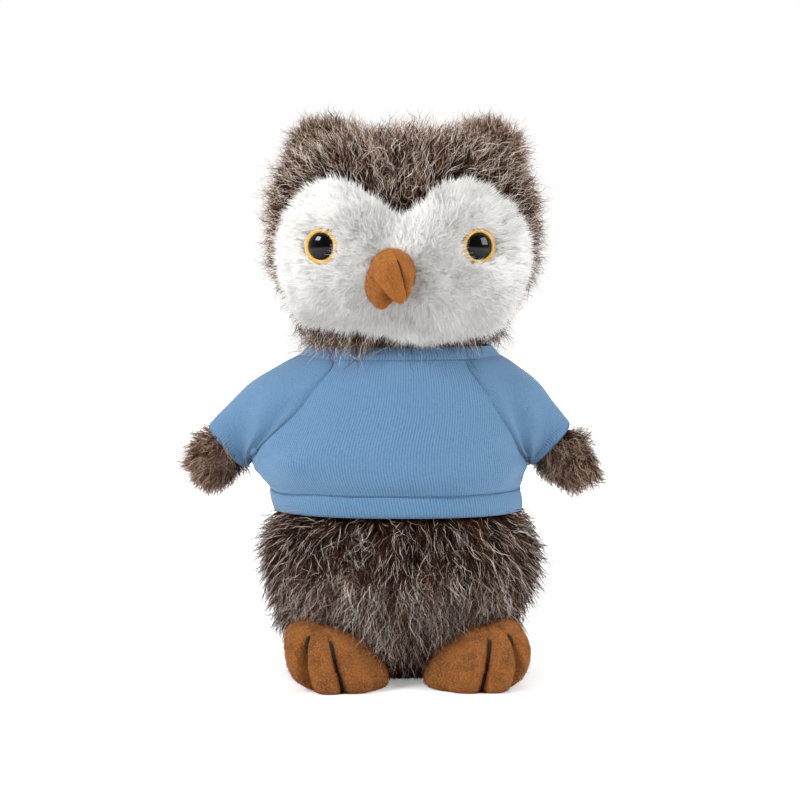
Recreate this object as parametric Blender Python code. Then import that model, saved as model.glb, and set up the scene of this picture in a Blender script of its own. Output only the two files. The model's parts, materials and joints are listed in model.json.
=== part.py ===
"""Standing plush owl in a knitted jersey: skins, stuffing, eyes, beak, wings, feet and shirt.

Metres, +Z up, the owl faces -Y and its own left side is at +X. The origin is the centre of its flat
underside. Every soft form is a stack of rounded rings: a table gives the shares of the form's height
at which rings lie, and the shares of its half width and half depth that the ring has there.
"""

import math

import bmesh
import bpy
import numpy as np

MM = 0.001

# Fits: the gap that neighbouring pieces keep, and the overrun of every cutter.
GAP = 0.3 * MM
OVERRUN = 4.0 * MM

# Sheet goods: pile fabric with its pile pressed to the middle of its depth, felt and jersey.
FUR_THICKNESS = 4.4 * MM
FACE_PLUSH_THICKNESS = 3.6 * MM
FACE_PANEL_PROUD = 0.8 * MM
FELT_THICKNESS = 1.3 * MM
JERSEY_THICKNESS = 1.1 * MM
HEM_EXTRA_THICKNESS = 0.5 * MM
NECKBAND_THICKNESS = 1.9 * MM

# Body, with the shirt's outer size above the hem.
BODY_HALF_WIDTH = 39.0 * MM
BODY_HALF_DEPTH = 31.5 * MM
BODY_TOP_Z = 90.0 * MM
BODY_SQUARENESS = 2.2
BODY_OUTLINE_shares = (
    (0.0, 0.70, 0.70), (0.04, 0.82, 0.82), (0.12, 0.92, 0.925), (0.24, 0.985, 0.985), (0.36, 1.0, 1.0),
    (0.45, 0.965, 0.97), (0.495, 0.90, 0.92), (0.55, 0.915, 0.955), (0.62, 0.94, 0.98), (0.68, 0.905, 0.98),
    (0.82, 0.885, 0.92), (0.91, 0.80, 0.84), (0.96, 0.69, 0.75), (1.0, 0.60, 0.66),
)
PELLET_BAG_HEIGHT = 12.0 * MM

# Neck: a round wad of stuffing that the head turns and nods on, its middle just over the body's top.
NECK_RADIUS = 18.5 * MM
NECK_RISE = 2.6 * MM
NECK_PIVOT_Z = BODY_TOP_Z + NECK_RISE

# Head, which sits just over the neck's middle.
HEAD_HALF_WIDTH = 38.6 * MM
HEAD_HALF_DEPTH = 30.5 * MM
HEAD_HEIGHT = 56.3 * MM
HEAD_SEAT = 1.6 * MM
HEAD_BOTTOM_Z = NECK_PIVOT_Z + HEAD_SEAT
HEAD_TOP_Z = HEAD_BOTTOM_Z + HEAD_HEIGHT
HEAD_OUTLINE_shares = (
    (0.0, 0.60, 0.62), (0.05, 0.76, 0.79), (0.14, 0.88, 0.90), (0.28, 0.97, 0.98), (0.45, 1.0, 1.0),
    (0.62, 0.995, 0.97), (0.76, 0.96, 0.90), (0.87, 0.90, 0.79), (0.95, 0.82, 0.64), (1.0, 0.70, 0.42),
)
HEAD_SQUARENESS = 2.5

# White face panel: outline as shares of its half width and of its height, from the lower middle
# round one side to the dip between the lobes.
FACE_SIDE_MARGIN = 4.6 * MM
FACE_HALF_WIDTH = HEAD_HALF_WIDTH - FACE_SIDE_MARGIN
FACE_HEIGHT = 38.0 * MM
FACE_SILL = 4.6 * MM
FACE_BOTTOM_Z = HEAD_BOTTOM_Z + FACE_SILL
FACE_WRAP = 22.0 * MM
FACE_OUTLINE_shares = (
    (0.0, 0.0), (0.40, 0.0), (0.72, 0.04), (0.91, 0.16), (1.0, 0.36), (0.985, 0.55), (0.90, 0.76),
    (0.74, 0.92), (0.51, 1.0), (0.32, 0.95), (0.15, 0.83), (0.0, 0.78),
)

# Ear tufts at the top corners of the head.
EAR_HALF_WIDTH = 8.0 * MM
EAR_HALF_DEPTH = 6.0 * MM
EAR_HEIGHT = 11.0 * MM
EAR_FROM_SIDE = 12.6 * MM
EAR_PROUD = 3.1 * MM
EAR_SQUARENESS = 2.2
EAR_OUTLINE_shares = (
    (0.0, 0.72, 0.75), (0.3, 1.0, 1.0), (0.65, 0.86, 0.84), (0.88, 0.52, 0.5), (1.0, 0.2, 0.2),
)

# Safety eyes: amber base with its shank, black domed pupil and the lock washer behind the fabric.
EYE_RADIUS = 4.9 * MM
EYE_RIM_THICKNESS = 1.5 * MM
EYE_PUPIL_RADIUS = 3.5 * MM
EYE_PUPIL_HEIGHT = 1.5 * MM
EYE_PUPIL_SEAT = 0.5 * MM
EYE_SHANK_RADIUS = 1.3 * MM
EYE_SHANK_LENGTH = 10.5 * MM
EYE_WASHER_RADIUS = 4.6 * MM
EYE_WASHER_THICKNESS = 1.2 * MM
EYE_FIT_CLEARANCE = 0.3 * MM
EYE_SPACING = 41.4 * MM
EYE_HEIGHT_ON_FACE = 18.8 * MM
EYE_SUNK = 0.5 * MM
EYE_TURN_DEG = 25.0
EYE_WASHER_SETBACK = 2.9 * MM
EYE_IRIS_PROFILE_shares = ((0.96, 0.0), (1.0, 0.3), (0.95, 0.75), (0.86, 1.0))
EYE_PUPIL_PROFILE_shares = ((1.0, 0.0), (0.88, 0.5), (0.6, 0.85), (0.2, 1.0))
EYE_SHANK_TIP_shares = (0.8, 0.9)

# Felt beak: an upper piece that hooks down over a lower lobe, both filled by one wad.
BEAK_HALF_WIDTH = 6.0 * MM
BEAK_HALF_HEIGHT = 7.0 * MM
BEAK_LENGTH = 11.0 * MM
BEAK_DROP = 6.2 * MM
BEAK_HEIGHT_ON_FACE = 11.8 * MM
BEAK_SQUARENESS = 2.2
BEAK_OUTLINE_shares = (
    (0.0, 0.92, 0.94, 0.0), (0.25, 1.0, 0.96, 0.06), (0.5, 0.86, 0.8, 0.24), (0.75, 0.58, 0.54, 0.58),
    (0.93, 0.28, 0.28, 0.9), (1.0, 0.12, 0.12, 1.0),
)
BEAK_LOWER_HALF_WIDTH = 4.6 * MM
BEAK_LOWER_HALF_HEIGHT = 5.6 * MM
BEAK_LOWER_LENGTH = 6.4 * MM
BEAK_LOWER_DROP = 2.4 * MM
BEAK_LOWER_SHIFT_X = -3.8 * MM
BEAK_LOWER_BELOW = 3.4 * MM
BEAK_THREAD_RADIUS = 0.35 * MM

# Shirt.
HEM_BOTTOM_Z = 44.6 * MM
HEM_HEIGHT = 6.4 * MM
NECKBAND_HEIGHT = 4.0 * MM
NECKBAND_PROUD = 0.4 * MM
NECKBAND_BOTTOM_Z = BODY_TOP_Z + NECKBAND_PROUD - NECKBAND_HEIGHT
RAGLAN_TOP_FROM_SIDE = 7.2 * MM
RAGLAN_LEAN = 12.0 * MM
RAGLAN_BELOW_SHOULDER = 11.0 * MM

# Wings: a stuffed limb whose rounded root sits in a socket at the side of the body.
WING_PIVOT_OUT = 2.9 * MM
WING_PIVOT_Y = -1.0 * MM
WING_PIVOT_Z = 71.5 * MM
WING_ROOT_RADIUS = 7.0 * MM
WING_HALF_DEPTH = 6.0 * MM
WING_LENGTH = 25.5 * MM
WING_FUR_THICKNESS = 3.0 * MM
WING_LEFT_DROP_DEG = 45.0
WING_RIGHT_DROP_DEG = 41.0
WING_OUTLINE_shares = (
    (0.0, 1.0, 1.0), (0.2, 0.98, 0.98), (0.42, 0.9, 0.92), (0.62, 0.9, 0.9), (0.8, 0.82, 0.8),
    (0.93, 0.55, 0.55), (1.0, 0.25, 0.25),
)
WING_ROOT_ANGLES_DEG = (50.0, 30.0, 12.0)
SLEEVE_ROOT_START = 2.6 * MM
SLEEVE_LENGTH = 14.8 * MM
CUFF_WIDTH = 4.2 * MM
SLEEVE_EASE = 0.3 * MM
ARMHOLE_EASE = 1.8 * MM

# Feet: felt, with three toes pulled in by two stitches each.
FOOT_HALF_WIDTH = 13.6 * MM
FOOT_HALF_LENGTH = 14.5 * MM
FOOT_HEIGHT = 16.0 * MM
FOOT_LEFT_TURN_DEG = 30.0
FOOT_RIGHT_TURN_DEG = -14.0
FOOT_LEFT_X = 15.2 * MM
FOOT_RIGHT_X = -14.6 * MM
FOOT_HINGE_CLEARANCE = 1.7 * MM
FOOT_HEEL_share = 0.72
TOE_NOTCH_STEPS = 2
TOE_NOTCH_WIDTH_DEG = 7.0
TOE_NOTCH_DEPTH = 1.5 * MM
TOE_THREAD_RADIUS = 0.45 * MM
FOOT_OUTLINE_shares = (
    (0.0, 0.88), (0.12, 0.97), (0.3, 1.0), (0.52, 0.95), (0.72, 0.81), (0.88, 0.57), (0.97, 0.3), (1.0, 0.14),
)

# Fineness: sides round a form, and rings between two rows of a table.
BODY_SIDES = 24
HEAD_SIDES = 24
LIMB_SIDES = 14
FOOT_SIDES = 32
BEAK_SIDES = 12
EYE_SIDES = 14
BALL_SIDES = 20
BALL_RINGS = 9
SLEEVE_RINGS = 4
THREAD_SIDES = 6
THREAD_POINTS = 6


def clear_scene():
    """Take every object out of the scene, whatever it held before."""
    for scene_object in list(bpy.data.objects):
        bpy.data.objects.remove(scene_object, do_unlink=True)


def make_material(name, colour, roughness, metallic=0.0):
    """A plain Principled finish."""
    material = bpy.data.materials.new(name)
    material.use_nodes = True
    shader = material.node_tree.nodes["Principled BSDF"]
    shader.inputs["Base Color"].default_value = (*colour, 1.0)
    shader.inputs["Roughness"].default_value = roughness
    shader.inputs["Metallic"].default_value = metallic
    return material


FINISHES = {
    "brown_fur": ((0.075, 0.047, 0.035), 0.95),
    "ear_fur": ((0.09, 0.045, 0.03), 0.95),
    "white_plush": ((0.76, 0.74, 0.71), 0.95),
    "orange_felt": ((0.30, 0.10, 0.03), 0.9),
    "blue_jersey": ((0.15, 0.35, 0.62), 0.85),
    "polyester_filling": ((0.8, 0.8, 0.78), 1.0),
    "pellet_bag_cloth": ((0.6, 0.58, 0.5), 0.9),
    "amber_plastic": ((0.8, 0.42, 0.06), 0.15),
    "black_plastic": ((0.008, 0.008, 0.01), 0.08),
    "washer_plastic": ((0.7, 0.7, 0.7), 0.4),
    "black_thread": ((0.02, 0.018, 0.016), 0.7),
}


def ring(half_x, half_y, squareness, sides):
    """One rounded ring: a superellipse at equal steps of angle, with a flat side to each axis."""
    angle = (np.arange(sides) + 0.5) * 2.0 * math.pi / sides
    cosine, sine = np.cos(angle), np.sin(angle)
    power = 2.0 / squareness
    x = np.sign(cosine) * np.abs(cosine) ** power * half_x
    y = np.sign(sine) * np.abs(sine) ** power * half_y
    return np.stack([x, y], axis=1)


def stack(rings_xy, heights):
    """Rings in the XY plane at their heights, as one array of rings of points."""
    return [np.column_stack([xy, np.full(len(xy), z)]) for xy, z in zip(rings_xy, heights)]


def skin_faces(first, ring_count, sides, inwards=False):
    """Quads between neighbouring rings, numbered from the first vertex."""
    faces = []
    for row in range(ring_count - 1):
        for side in range(sides):
            a = first + row * sides + side
            b = first + row * sides + (side + 1) % sides
            face = (a, b, b + sides, a + sides)
            faces.append(face[::-1] if inwards else face)
    return faces


def mesh_object(name, vertices, faces, origin=(0.0, 0.0, 0.0)):
    """A mesh object with its own origin, from points in world coordinates."""
    origin = np.array(origin, dtype=float)
    mesh = bpy.data.meshes.new(name)
    mesh.from_pydata([tuple(v) for v in np.asarray(vertices) - origin], [], faces)
    mesh.update()
    made = bpy.data.objects.new(name, mesh)
    made.location = origin
    bpy.context.scene.collection.objects.link(made)
    return made


def closed_form(name, rings, origin=(0.0, 0.0, 0.0)):
    """A solid between the first ring and the last, both closed flat."""
    sides = len(rings[0])
    faces = skin_faces(0, len(rings), sides)
    faces.append(tuple(range(sides))[::-1])
    faces.append(tuple(range((len(rings) - 1) * sides, len(rings) * sides)))
    return mesh_object(name, np.concatenate(rings), faces, origin)


def open_tube(name, outer, inner, origin=(0.0, 0.0, 0.0)):
    """A tube wall between an outer and an inner stack of rings, open at both ends."""
    sides, count = len(outer[0]), len(outer)
    start = count * sides
    faces = skin_faces(0, count, sides) + skin_faces(start, count, sides, inwards=True)
    for side in range(sides):
        after = (side + 1) % sides
        top, top_after = (count - 1) * sides + side, (count - 1) * sides + after
        faces.append((side, start + side, start + after, after))
        faces.append((top, top_after, start + top_after, start + top))
    return mesh_object(name, np.concatenate([*outer, *inner]), faces, origin)


def cup(name, outer, inner, origin=(0.0, 0.0, 0.0)):
    """A skin that is open at its first rings and closed at its last ones."""
    sides, count, inner_count = len(outer[0]), len(outer), len(inner)
    start = count * sides
    faces = skin_faces(0, count, sides) + skin_faces(start, inner_count, sides, inwards=True)
    faces.append(tuple(range((count - 1) * sides, count * sides)))
    faces.append(tuple(range(start + (inner_count - 1) * sides, start + inner_count * sides))[::-1])
    for side in range(sides):
        after = (side + 1) % sides
        faces.append((side, start + side, start + after, after))
    return mesh_object(name, np.concatenate([*outer, *inner]), faces, origin)


def as_cutter(tool):
    """Mark a shape as one that only cuts others."""
    tool.hide_render = True
    tool.display_type = "WIRE"
    return tool


def cut(target, tool, operation="DIFFERENCE"):
    """Add an exact Boolean of the target with a cutter."""
    modifier = target.modifiers.new(operation.lower(), "BOOLEAN")
    modifier.operation = operation
    modifier.solver = "EXACT"
    modifier.object = tool
    return target


def box(name, low, high):
    """An upright box between two corners."""
    xs, ys, zs = zip(low, high)
    corners = [(x, y, z) for z in zs for y in ys for x in xs]
    faces = [(0, 2, 3, 1), (4, 5, 7, 6), (0, 1, 5, 4), (2, 6, 7, 3), (0, 4, 6, 2), (1, 3, 7, 5)]
    return as_cutter(mesh_object(name, corners, faces))


def prism_along_y(name, outline_xz, y_front, y_back):
    """A prism whose outline lies in the XZ plane, from one y to another."""
    outline = np.array(outline_xz)
    front = np.column_stack([outline[:, 0], np.full(len(outline), y_front), outline[:, 1]])
    back = front.copy()
    back[:, 1] = y_back
    count = len(outline)
    faces = [tuple(range(count)), tuple(range(count, 2 * count))[::-1]]
    faces += [(i, i + count, (i + 1) % count + count, (i + 1) % count) for i in range(count)]
    tool = mesh_object(name, np.concatenate([front, back]), faces)
    shape = bmesh.new()
    shape.from_mesh(tool.data)
    bmesh.ops.recalc_face_normals(shape, faces=shape.faces)
    shape.to_mesh(tool.data)
    shape.free()
    return as_cutter(tool)


def round_hollow(radius):
    """Radius of a faceted hollow whose flats clear a ball of this radius by the gap."""
    return (radius + GAP) / (math.cos(math.pi / BALL_SIDES) * math.cos(0.5 * math.pi / (BALL_RINGS + 1)))


def ball(name, centre, radius):
    """A sphere, as rings between two small flat ends."""
    polar = np.linspace(-0.5 * math.pi, 0.5 * math.pi, BALL_RINGS + 2)[1:-1]
    rings_xy = [ring(radius * math.cos(a), radius * math.cos(a), 2.0, BALL_SIDES) for a in polar]
    rings = stack(rings_xy, radius * np.sin(polar))
    return closed_form(name, [points + np.array(centre) for points in rings], centre)


def turned(name, profile, sides, frame, origin):
    """A turned piece: (radius, height) points from one end of its axis to the other, in a frame."""
    rings = []
    for radius, height in profile:
        flat = ring(radius, radius, 2.0, sides)
        rings.append(np.column_stack([flat, np.full(sides, height)]) @ frame.T + np.array(origin))
    return closed_form(name, rings, origin)


def smooth_curve(points, count):
    """Points at equal steps along the table, through a curve that passes every row smoothly."""
    rows = np.array(points, dtype=float)
    ends = np.vstack([2 * rows[0] - rows[1], rows, 2 * rows[-1] - rows[-2]])
    place = np.linspace(0.0, len(rows) - 1.0, count)
    first = np.minimum(place.astype(int), len(rows) - 2)
    t = (place - first)[:, None]
    p0, p1, p2, p3 = (ends[first + k] for k in range(4))
    return 0.5 * (2 * p1 + (p2 - p0) * t + (2 * p0 - 5 * p1 + 4 * p2 - p3) * t**2
                  + (3 * p1 - p0 - 3 * p2 + p3) * t**3)


def head_rings(inset):
    """The head's rings, drawn in towards its middle by the inset on every side."""
    middle = 0.5 * (HEAD_TOP_Z + HEAD_BOTTOM_Z)
    half_height = 0.5 * (HEAD_TOP_Z - HEAD_BOTTOM_Z)
    rings_xy, heights = [], []
    for height_share, width_share, depth_share in HEAD_OUTLINE_shares:
        across = width_share * (HEAD_HALF_WIDTH - inset)
        deep = depth_share * (HEAD_HALF_DEPTH - inset)
        rings_xy.append(ring(across, deep, HEAD_SQUARENESS, HEAD_SIDES))
        heights.append(middle + (2.0 * height_share - 1.0) * (half_height - inset))
    return stack(rings_xy, heights)


def body_level(z):
    """The outer half width and half depth of the dressed body at a height."""
    shares = np.array(BODY_OUTLINE_shares)
    level = z / BODY_TOP_Z
    return (np.interp(level, shares[:, 0], shares[:, 1]) * BODY_HALF_WIDTH,
            np.interp(level, shares[:, 0], shares[:, 2]) * BODY_HALF_DEPTH)


def body_heights(low, high):
    """The table's heights between two levels, with both levels themselves."""
    inside = [share * BODY_TOP_Z for share, _, _ in BODY_OUTLINE_shares]
    return [low] + [z for z in inside if low + GAP < z < high - GAP] + [high]


def body_rings(inset, low=0.0, high=BODY_TOP_Z):
    """The body's rings between two levels, drawn in sideways by the inset."""
    heights = body_heights(low, high)
    sizes = [body_level(z) for z in heights]
    rings_xy = [ring(a - inset, b - inset, BODY_SQUARENESS, BODY_SIDES) for a, b in sizes]
    return stack(rings_xy, heights)


def superellipse_front(x, half_x, half_y, squareness):
    """How far forward a superellipse reaches at a distance x from its middle."""
    return half_y * max(1.0 - abs(x / half_x) ** squareness, 0.0) ** (1.0 / squareness)


def head_front_y(x, z):
    """The y of the head's front at a place on it."""
    shares = np.array(HEAD_OUTLINE_shares)
    level = (z - HEAD_BOTTOM_Z) / HEAD_HEIGHT
    half_x = np.interp(level, shares[:, 0], shares[:, 1]) * HEAD_HALF_WIDTH + FACE_PANEL_PROUD
    half_y = np.interp(level, shares[:, 0], shares[:, 2]) * HEAD_HALF_DEPTH + FACE_PANEL_PROUD
    return -superellipse_front(x, half_x, half_y, HEAD_SQUARENESS)


def shoulder_pivot(side):
    """A wing's pivot, just outside the dressed body."""
    return (side * (body_level(WING_PIVOT_Z)[0] + WING_PIVOT_OUT), WING_PIVOT_Y, WING_PIVOT_Z)


def foot_hinge(x):
    """The middle of a foot's hinge line, just ahead of the body's base."""
    half_x, half_y = body_level(0.0)
    return (x, -superellipse_front(x, half_x, half_y, BODY_SQUARENESS) - FOOT_HINGE_CLEARANCE)


def bare_body_rings(inset, low=0.0, high=BODY_TOP_Z):
    """The body's own rings: as the dressed body below the hem, and inside the jersey above it."""
    jersey = JERSEY_THICKNESS + GAP
    hem = jersey + HEM_EXTRA_THICKNESS
    heights = body_heights(low, high)
    edge = HEM_BOTTOM_Z - GAP
    if low < edge - GAP and edge < high:
        heights = sorted([z for z in heights if abs(z - edge) > GAP] + [edge - GAP, edge])
    rings_xy = []
    for z in heights:
        a, b = body_level(z)
        under = inset + (hem if z >= edge else 0.0)
        rings_xy.append(ring(a - under, b - under, BODY_SQUARENESS, BODY_SIDES))
    return stack(rings_xy, heights)


def side_planes(name):
    """Front and back half spaces that meet at the side seams, with the gap between them."""
    reach = BODY_HALF_WIDTH + OVERRUN + WING_LENGTH
    top = HEAD_TOP_Z + OVERRUN
    front = box(name + "_front", (-reach, -reach, -OVERRUN), (reach, -0.5 * GAP, top))
    back = box(name + "_back", (-reach, 0.5 * GAP, -OVERRUN), (reach, reach, top))
    return front, back


def half_head_planes():
    """Left and right half spaces that meet at the head's middle seam."""
    reach = HEAD_HALF_WIDTH + OVERRUN
    low, high = HEAD_BOTTOM_Z - OVERRUN, HEAD_TOP_Z + OVERRUN
    left = box("cut_head_left", (0.5 * GAP, -reach, low), (reach, reach, high))
    right = box("cut_head_right", (-reach, -reach, low), (-0.5 * GAP, reach, high))
    return left, right


def face_outline(outset):
    """The white face's outline in the XZ plane, grown by the outset about its middle."""
    middle_z = FACE_BOTTOM_Z + 0.5 * FACE_HEIGHT
    half = [(x * (FACE_HALF_WIDTH + outset),
             middle_z + (z - 0.5) * (FACE_HEIGHT + 2.0 * outset)) for x, z in FACE_OUTLINE_shares]
    return half + [(-x, z) for x, z in half[-2:0:-1]]


def eye_frame(side):
    """Axes of an eye, as columns: its front points forward and a little to its own side."""
    turn = math.radians(EYE_TURN_DEG) * side
    front = np.array([math.sin(turn), -math.cos(turn), 0.0])
    up = np.array([0.0, 0.0, 1.0])
    return np.column_stack([np.cross(up, front), up, front])


def eye_seat(side):
    """The middle of an eye's back face, a little sunk into the face."""
    x, z = side * 0.5 * EYE_SPACING, FACE_BOTTOM_Z + EYE_HEIGHT_ON_FACE
    return np.array([x, head_front_y(x, z) + EYE_SUNK, z])


def eye_turned(name, profile, side):
    """A turned piece on an eye's axis."""
    return turned(name, profile, EYE_SIDES, eye_frame(side), eye_seat(side))


def make_eyes(face_panel, head_stuffing, pivot):
    """Both safety eyes, with their seats and shank holes in the face and its filling."""
    rim = EYE_RIM_THICKNESS
    well_radius = EYE_PUPIL_RADIUS + EYE_FIT_CLEARANCE
    well_floor = rim - EYE_PUPIL_SEAT
    tip_share, tip_start_share = EYE_SHANK_TIP_shares
    iris_profile = (
        (EYE_SHANK_RADIUS * tip_share, -EYE_SHANK_LENGTH),
        (EYE_SHANK_RADIUS, -EYE_SHANK_LENGTH * tip_start_share), (EYE_SHANK_RADIUS, 0.0),
        *((EYE_RADIUS * across, rim * up) for across, up in EYE_IRIS_PROFILE_shares),
        (well_radius, rim), (well_radius, well_floor))
    pupil_profile = (
        (EYE_PUPIL_RADIUS, well_floor + GAP),
        *((EYE_PUPIL_RADIUS * across, rim + EYE_PUPIL_HEIGHT * up)
          for across, up in EYE_PUPIL_PROFILE_shares))
    washer_front = -FACE_PLUSH_THICKNESS - EYE_WASHER_SETBACK
    washer_back = washer_front - EYE_WASHER_THICKNESS
    washer_profile = ((EYE_WASHER_RADIUS, washer_back), (EYE_WASHER_RADIUS, washer_front))
    bore_radius = EYE_SHANK_RADIUS + EYE_FIT_CLEARANCE
    bore_profile = ((bore_radius, -EYE_SHANK_LENGTH - OVERRUN), (bore_radius, OVERRUN))
    seat_profile = ((EYE_RADIUS + GAP, -GAP), (EYE_RADIUS + GAP, OVERRUN))
    pocket_radius = EYE_WASHER_RADIUS + GAP
    pocket_profile = ((pocket_radius, -EYE_SHANK_LENGTH - GAP), (pocket_radius, OVERRUN))
    for side, label in ((1, "left"), (-1, "right")):
        iris = eye_turned(f"eye_{label}_iris", iris_profile, side)
        pupil = eye_turned(f"eye_{label}_pupil", pupil_profile, side)
        washer = eye_turned(f"eye_{label}_washer", washer_profile, side)
        bore = as_cutter(eye_turned(f"cut_eye_bore_{label}", bore_profile, side))
        cut(washer, bore)
        cut(face_panel, bore)
        cut(face_panel, as_cutter(eye_turned(f"cut_eye_seat_{label}", seat_profile, side)))
        cut(head_stuffing, as_cutter(eye_turned(f"cut_eye_pocket_{label}", pocket_profile, side)))
        dress(iris, "amber_plastic", pivot)
        dress(pupil, "black_plastic", pivot)
        dress(washer, "washer_plastic", pivot)


def beak_rings(half_width, half_height, length, drop, inset, shift_x=0.0, below=0.0):
    """Rings along the beak from its root to its tip, dropping as it goes."""
    root_z = FACE_BOTTOM_Z + BEAK_HEIGHT_ON_FACE
    root_y = head_front_y(0.0, root_z) - GAP
    rings = []
    for length_share, width_share, height_share, drop_share in BEAK_OUTLINE_shares:
        flat = ring(width_share * (half_width - inset), height_share * (half_height - inset),
                    BEAK_SQUARENESS, BEAK_SIDES)
        reach = length_share * (length - inset)
        drop_here = drop_share * drop * (length - inset) / length
        rings.append(np.column_stack([
            flat[:, 0] + shift_x,
            np.full(BEAK_SIDES, root_y - reach),
            flat[:, 1] + root_z - below - drop_here]))
    return rings


def upper_beak_rings(inset):
    """Rings of the beak's upper piece, drawn in by the inset."""
    return beak_rings(BEAK_HALF_WIDTH, BEAK_HALF_HEIGHT, BEAK_LENGTH, BEAK_DROP, inset)


def make_beak(pivot):
    """The felt beak: upper piece, lower lobe, the wad inside the upper piece and its ridge thread."""
    outer = upper_beak_rings(0.0)
    upper = cup("beak_upper", outer, upper_beak_rings(FELT_THICKNESS))
    wad = closed_form("beak_stuffing", upper_beak_rings(FELT_THICKNESS + GAP))
    lower = closed_form("beak_lower", beak_rings(
        BEAK_LOWER_HALF_WIDTH, BEAK_LOWER_HALF_HEIGHT, BEAK_LOWER_LENGTH, BEAK_LOWER_DROP, 0.0,
        BEAK_LOWER_SHIFT_X, BEAK_LOWER_BELOW))
    grown = upper_beak_rings(-GAP)
    grown[0][:, 1] += OVERRUN
    cut(lower, as_cutter(closed_form("cut_beak", grown)))
    ridge = np.array([points[np.argmax(points[:, 2])] for points in outer])
    along = np.gradient(ridge, axis=0)
    outwards = np.column_stack([np.zeros(len(ridge)), along[:, 2], -along[:, 1]])
    outwards /= np.linalg.norm(outwards, axis=1)[:, None]
    ridge += outwards * (BEAK_THREAD_RADIUS + 2.0 * GAP)
    thread = thread_tube("beak_seam_thread", ridge[1:-1], BEAK_THREAD_RADIUS)
    dress(upper, "orange_felt", pivot)
    dress(lower, "orange_felt", pivot)
    dress(wad, "polyester_filling", pivot)
    dress(thread, "black_thread", pivot)


def thread_tube(name, route, radius):
    """A round thread along a route, as a six-sided tube with closed ends."""
    path = smooth_curve(route, THREAD_POINTS)
    along = np.gradient(path, axis=0)
    along /= np.linalg.norm(along, axis=1)[:, None]
    side = np.cross(along, np.array([1.0, 1.0, 1.0]))
    side /= np.linalg.norm(side, axis=1)[:, None]
    other = np.cross(along, side)
    angle = np.linspace(0.0, 2.0 * math.pi, THREAD_SIDES, endpoint=False)
    rings = [p + radius * (np.cos(angle)[:, None] * s + np.sin(angle)[:, None] * o)
             for p, s, o in zip(path, side, other)]
    return closed_form(name, rings)


def ear_rings(side):
    """Rings of an ear tuft, from inside the head up to its tip."""
    middle = np.array([side * (HEAD_HALF_WIDTH - EAR_FROM_SIDE), 0.0])
    rings_xy, heights = [], []
    for height_share, width_share, depth_share in EAR_OUTLINE_shares:
        flat = ring(width_share * EAR_HALF_WIDTH, depth_share * EAR_HALF_DEPTH, EAR_SQUARENESS, LIMB_SIDES)
        rings_xy.append(flat + middle)
        heights.append(HEAD_TOP_Z + EAR_PROUD - (1.0 - height_share) * EAR_HEIGHT)
    return stack(rings_xy, heights)


def make_head(pivot, neck_socket):
    """Head skin in two halves, white face, ear tufts, filling, eyes and beak."""
    outer = head_rings(0.0)
    hollow = as_cutter(closed_form("cut_head_hollow", head_rings(FUR_THICKNESS)))
    left_half, right_half = half_head_planes()
    front_y = -HEAD_HALF_DEPTH - OVERRUN
    wrap_y = FACE_WRAP - HEAD_HALF_DEPTH
    face_opening = prism_along_y("cut_face_opening", face_outline(GAP), front_y, wrap_y + GAP)
    face_prism = prism_along_y("cut_face_panel", face_outline(0.0), front_y, wrap_y)
    for label, half in (("left", left_half), ("right", right_half)):
        skin = closed_form(f"head_fur_{label}", outer)
        cut(skin, hollow)
        cut(skin, neck_socket)
        cut(skin, face_opening)
        cut(skin, half, "INTERSECT")
        dress(skin, "brown_fur", pivot)
    face = closed_form("face_panel", head_rings(-FACE_PANEL_PROUD))
    face_hollow = as_cutter(closed_form("cut_face_hollow", head_rings(FUR_THICKNESS - FACE_PANEL_PROUD)))
    cut(face, face_hollow)
    cut(face, face_prism, "INTERSECT")
    cut(face, neck_socket)
    filling = closed_form("head_stuffing", head_rings(FUR_THICKNESS + GAP))
    cut(filling, neck_socket)
    make_eyes(face, filling, pivot)
    dress(face, "white_plush", pivot)
    dress(filling, "polyester_filling", pivot)
    envelope = as_cutter(closed_form("cut_head_envelope", head_rings(-GAP)))
    for side, label in ((1, "left"), (-1, "right")):
        ear = closed_form(f"ear_{label}", ear_rings(side))
        cut(ear, envelope)
        dress(ear, "ear_fur", pivot)
    make_beak(pivot)


def dress(made, finish, origin=(0.0, 0.0, 0.0)):
    """Give an object its finish, smooth shading and an origin on its joint."""
    colour, roughness = FINISHES[finish]
    made.data.materials.clear()
    made.data.materials.append(make_material(f"{made.name}_{finish}", colour, roughness))
    made.data.shade_smooth()
    made.data.set_sharp_from_angle(angle=math.radians(40.0))
    shift = np.array(made.location) - np.array(origin)
    points = np.array([tuple(v.co) for v in made.data.vertices]) + shift
    made.data.vertices.foreach_set("co", points.ravel())
    made.location = origin
    made.data.update()
    return made


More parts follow.
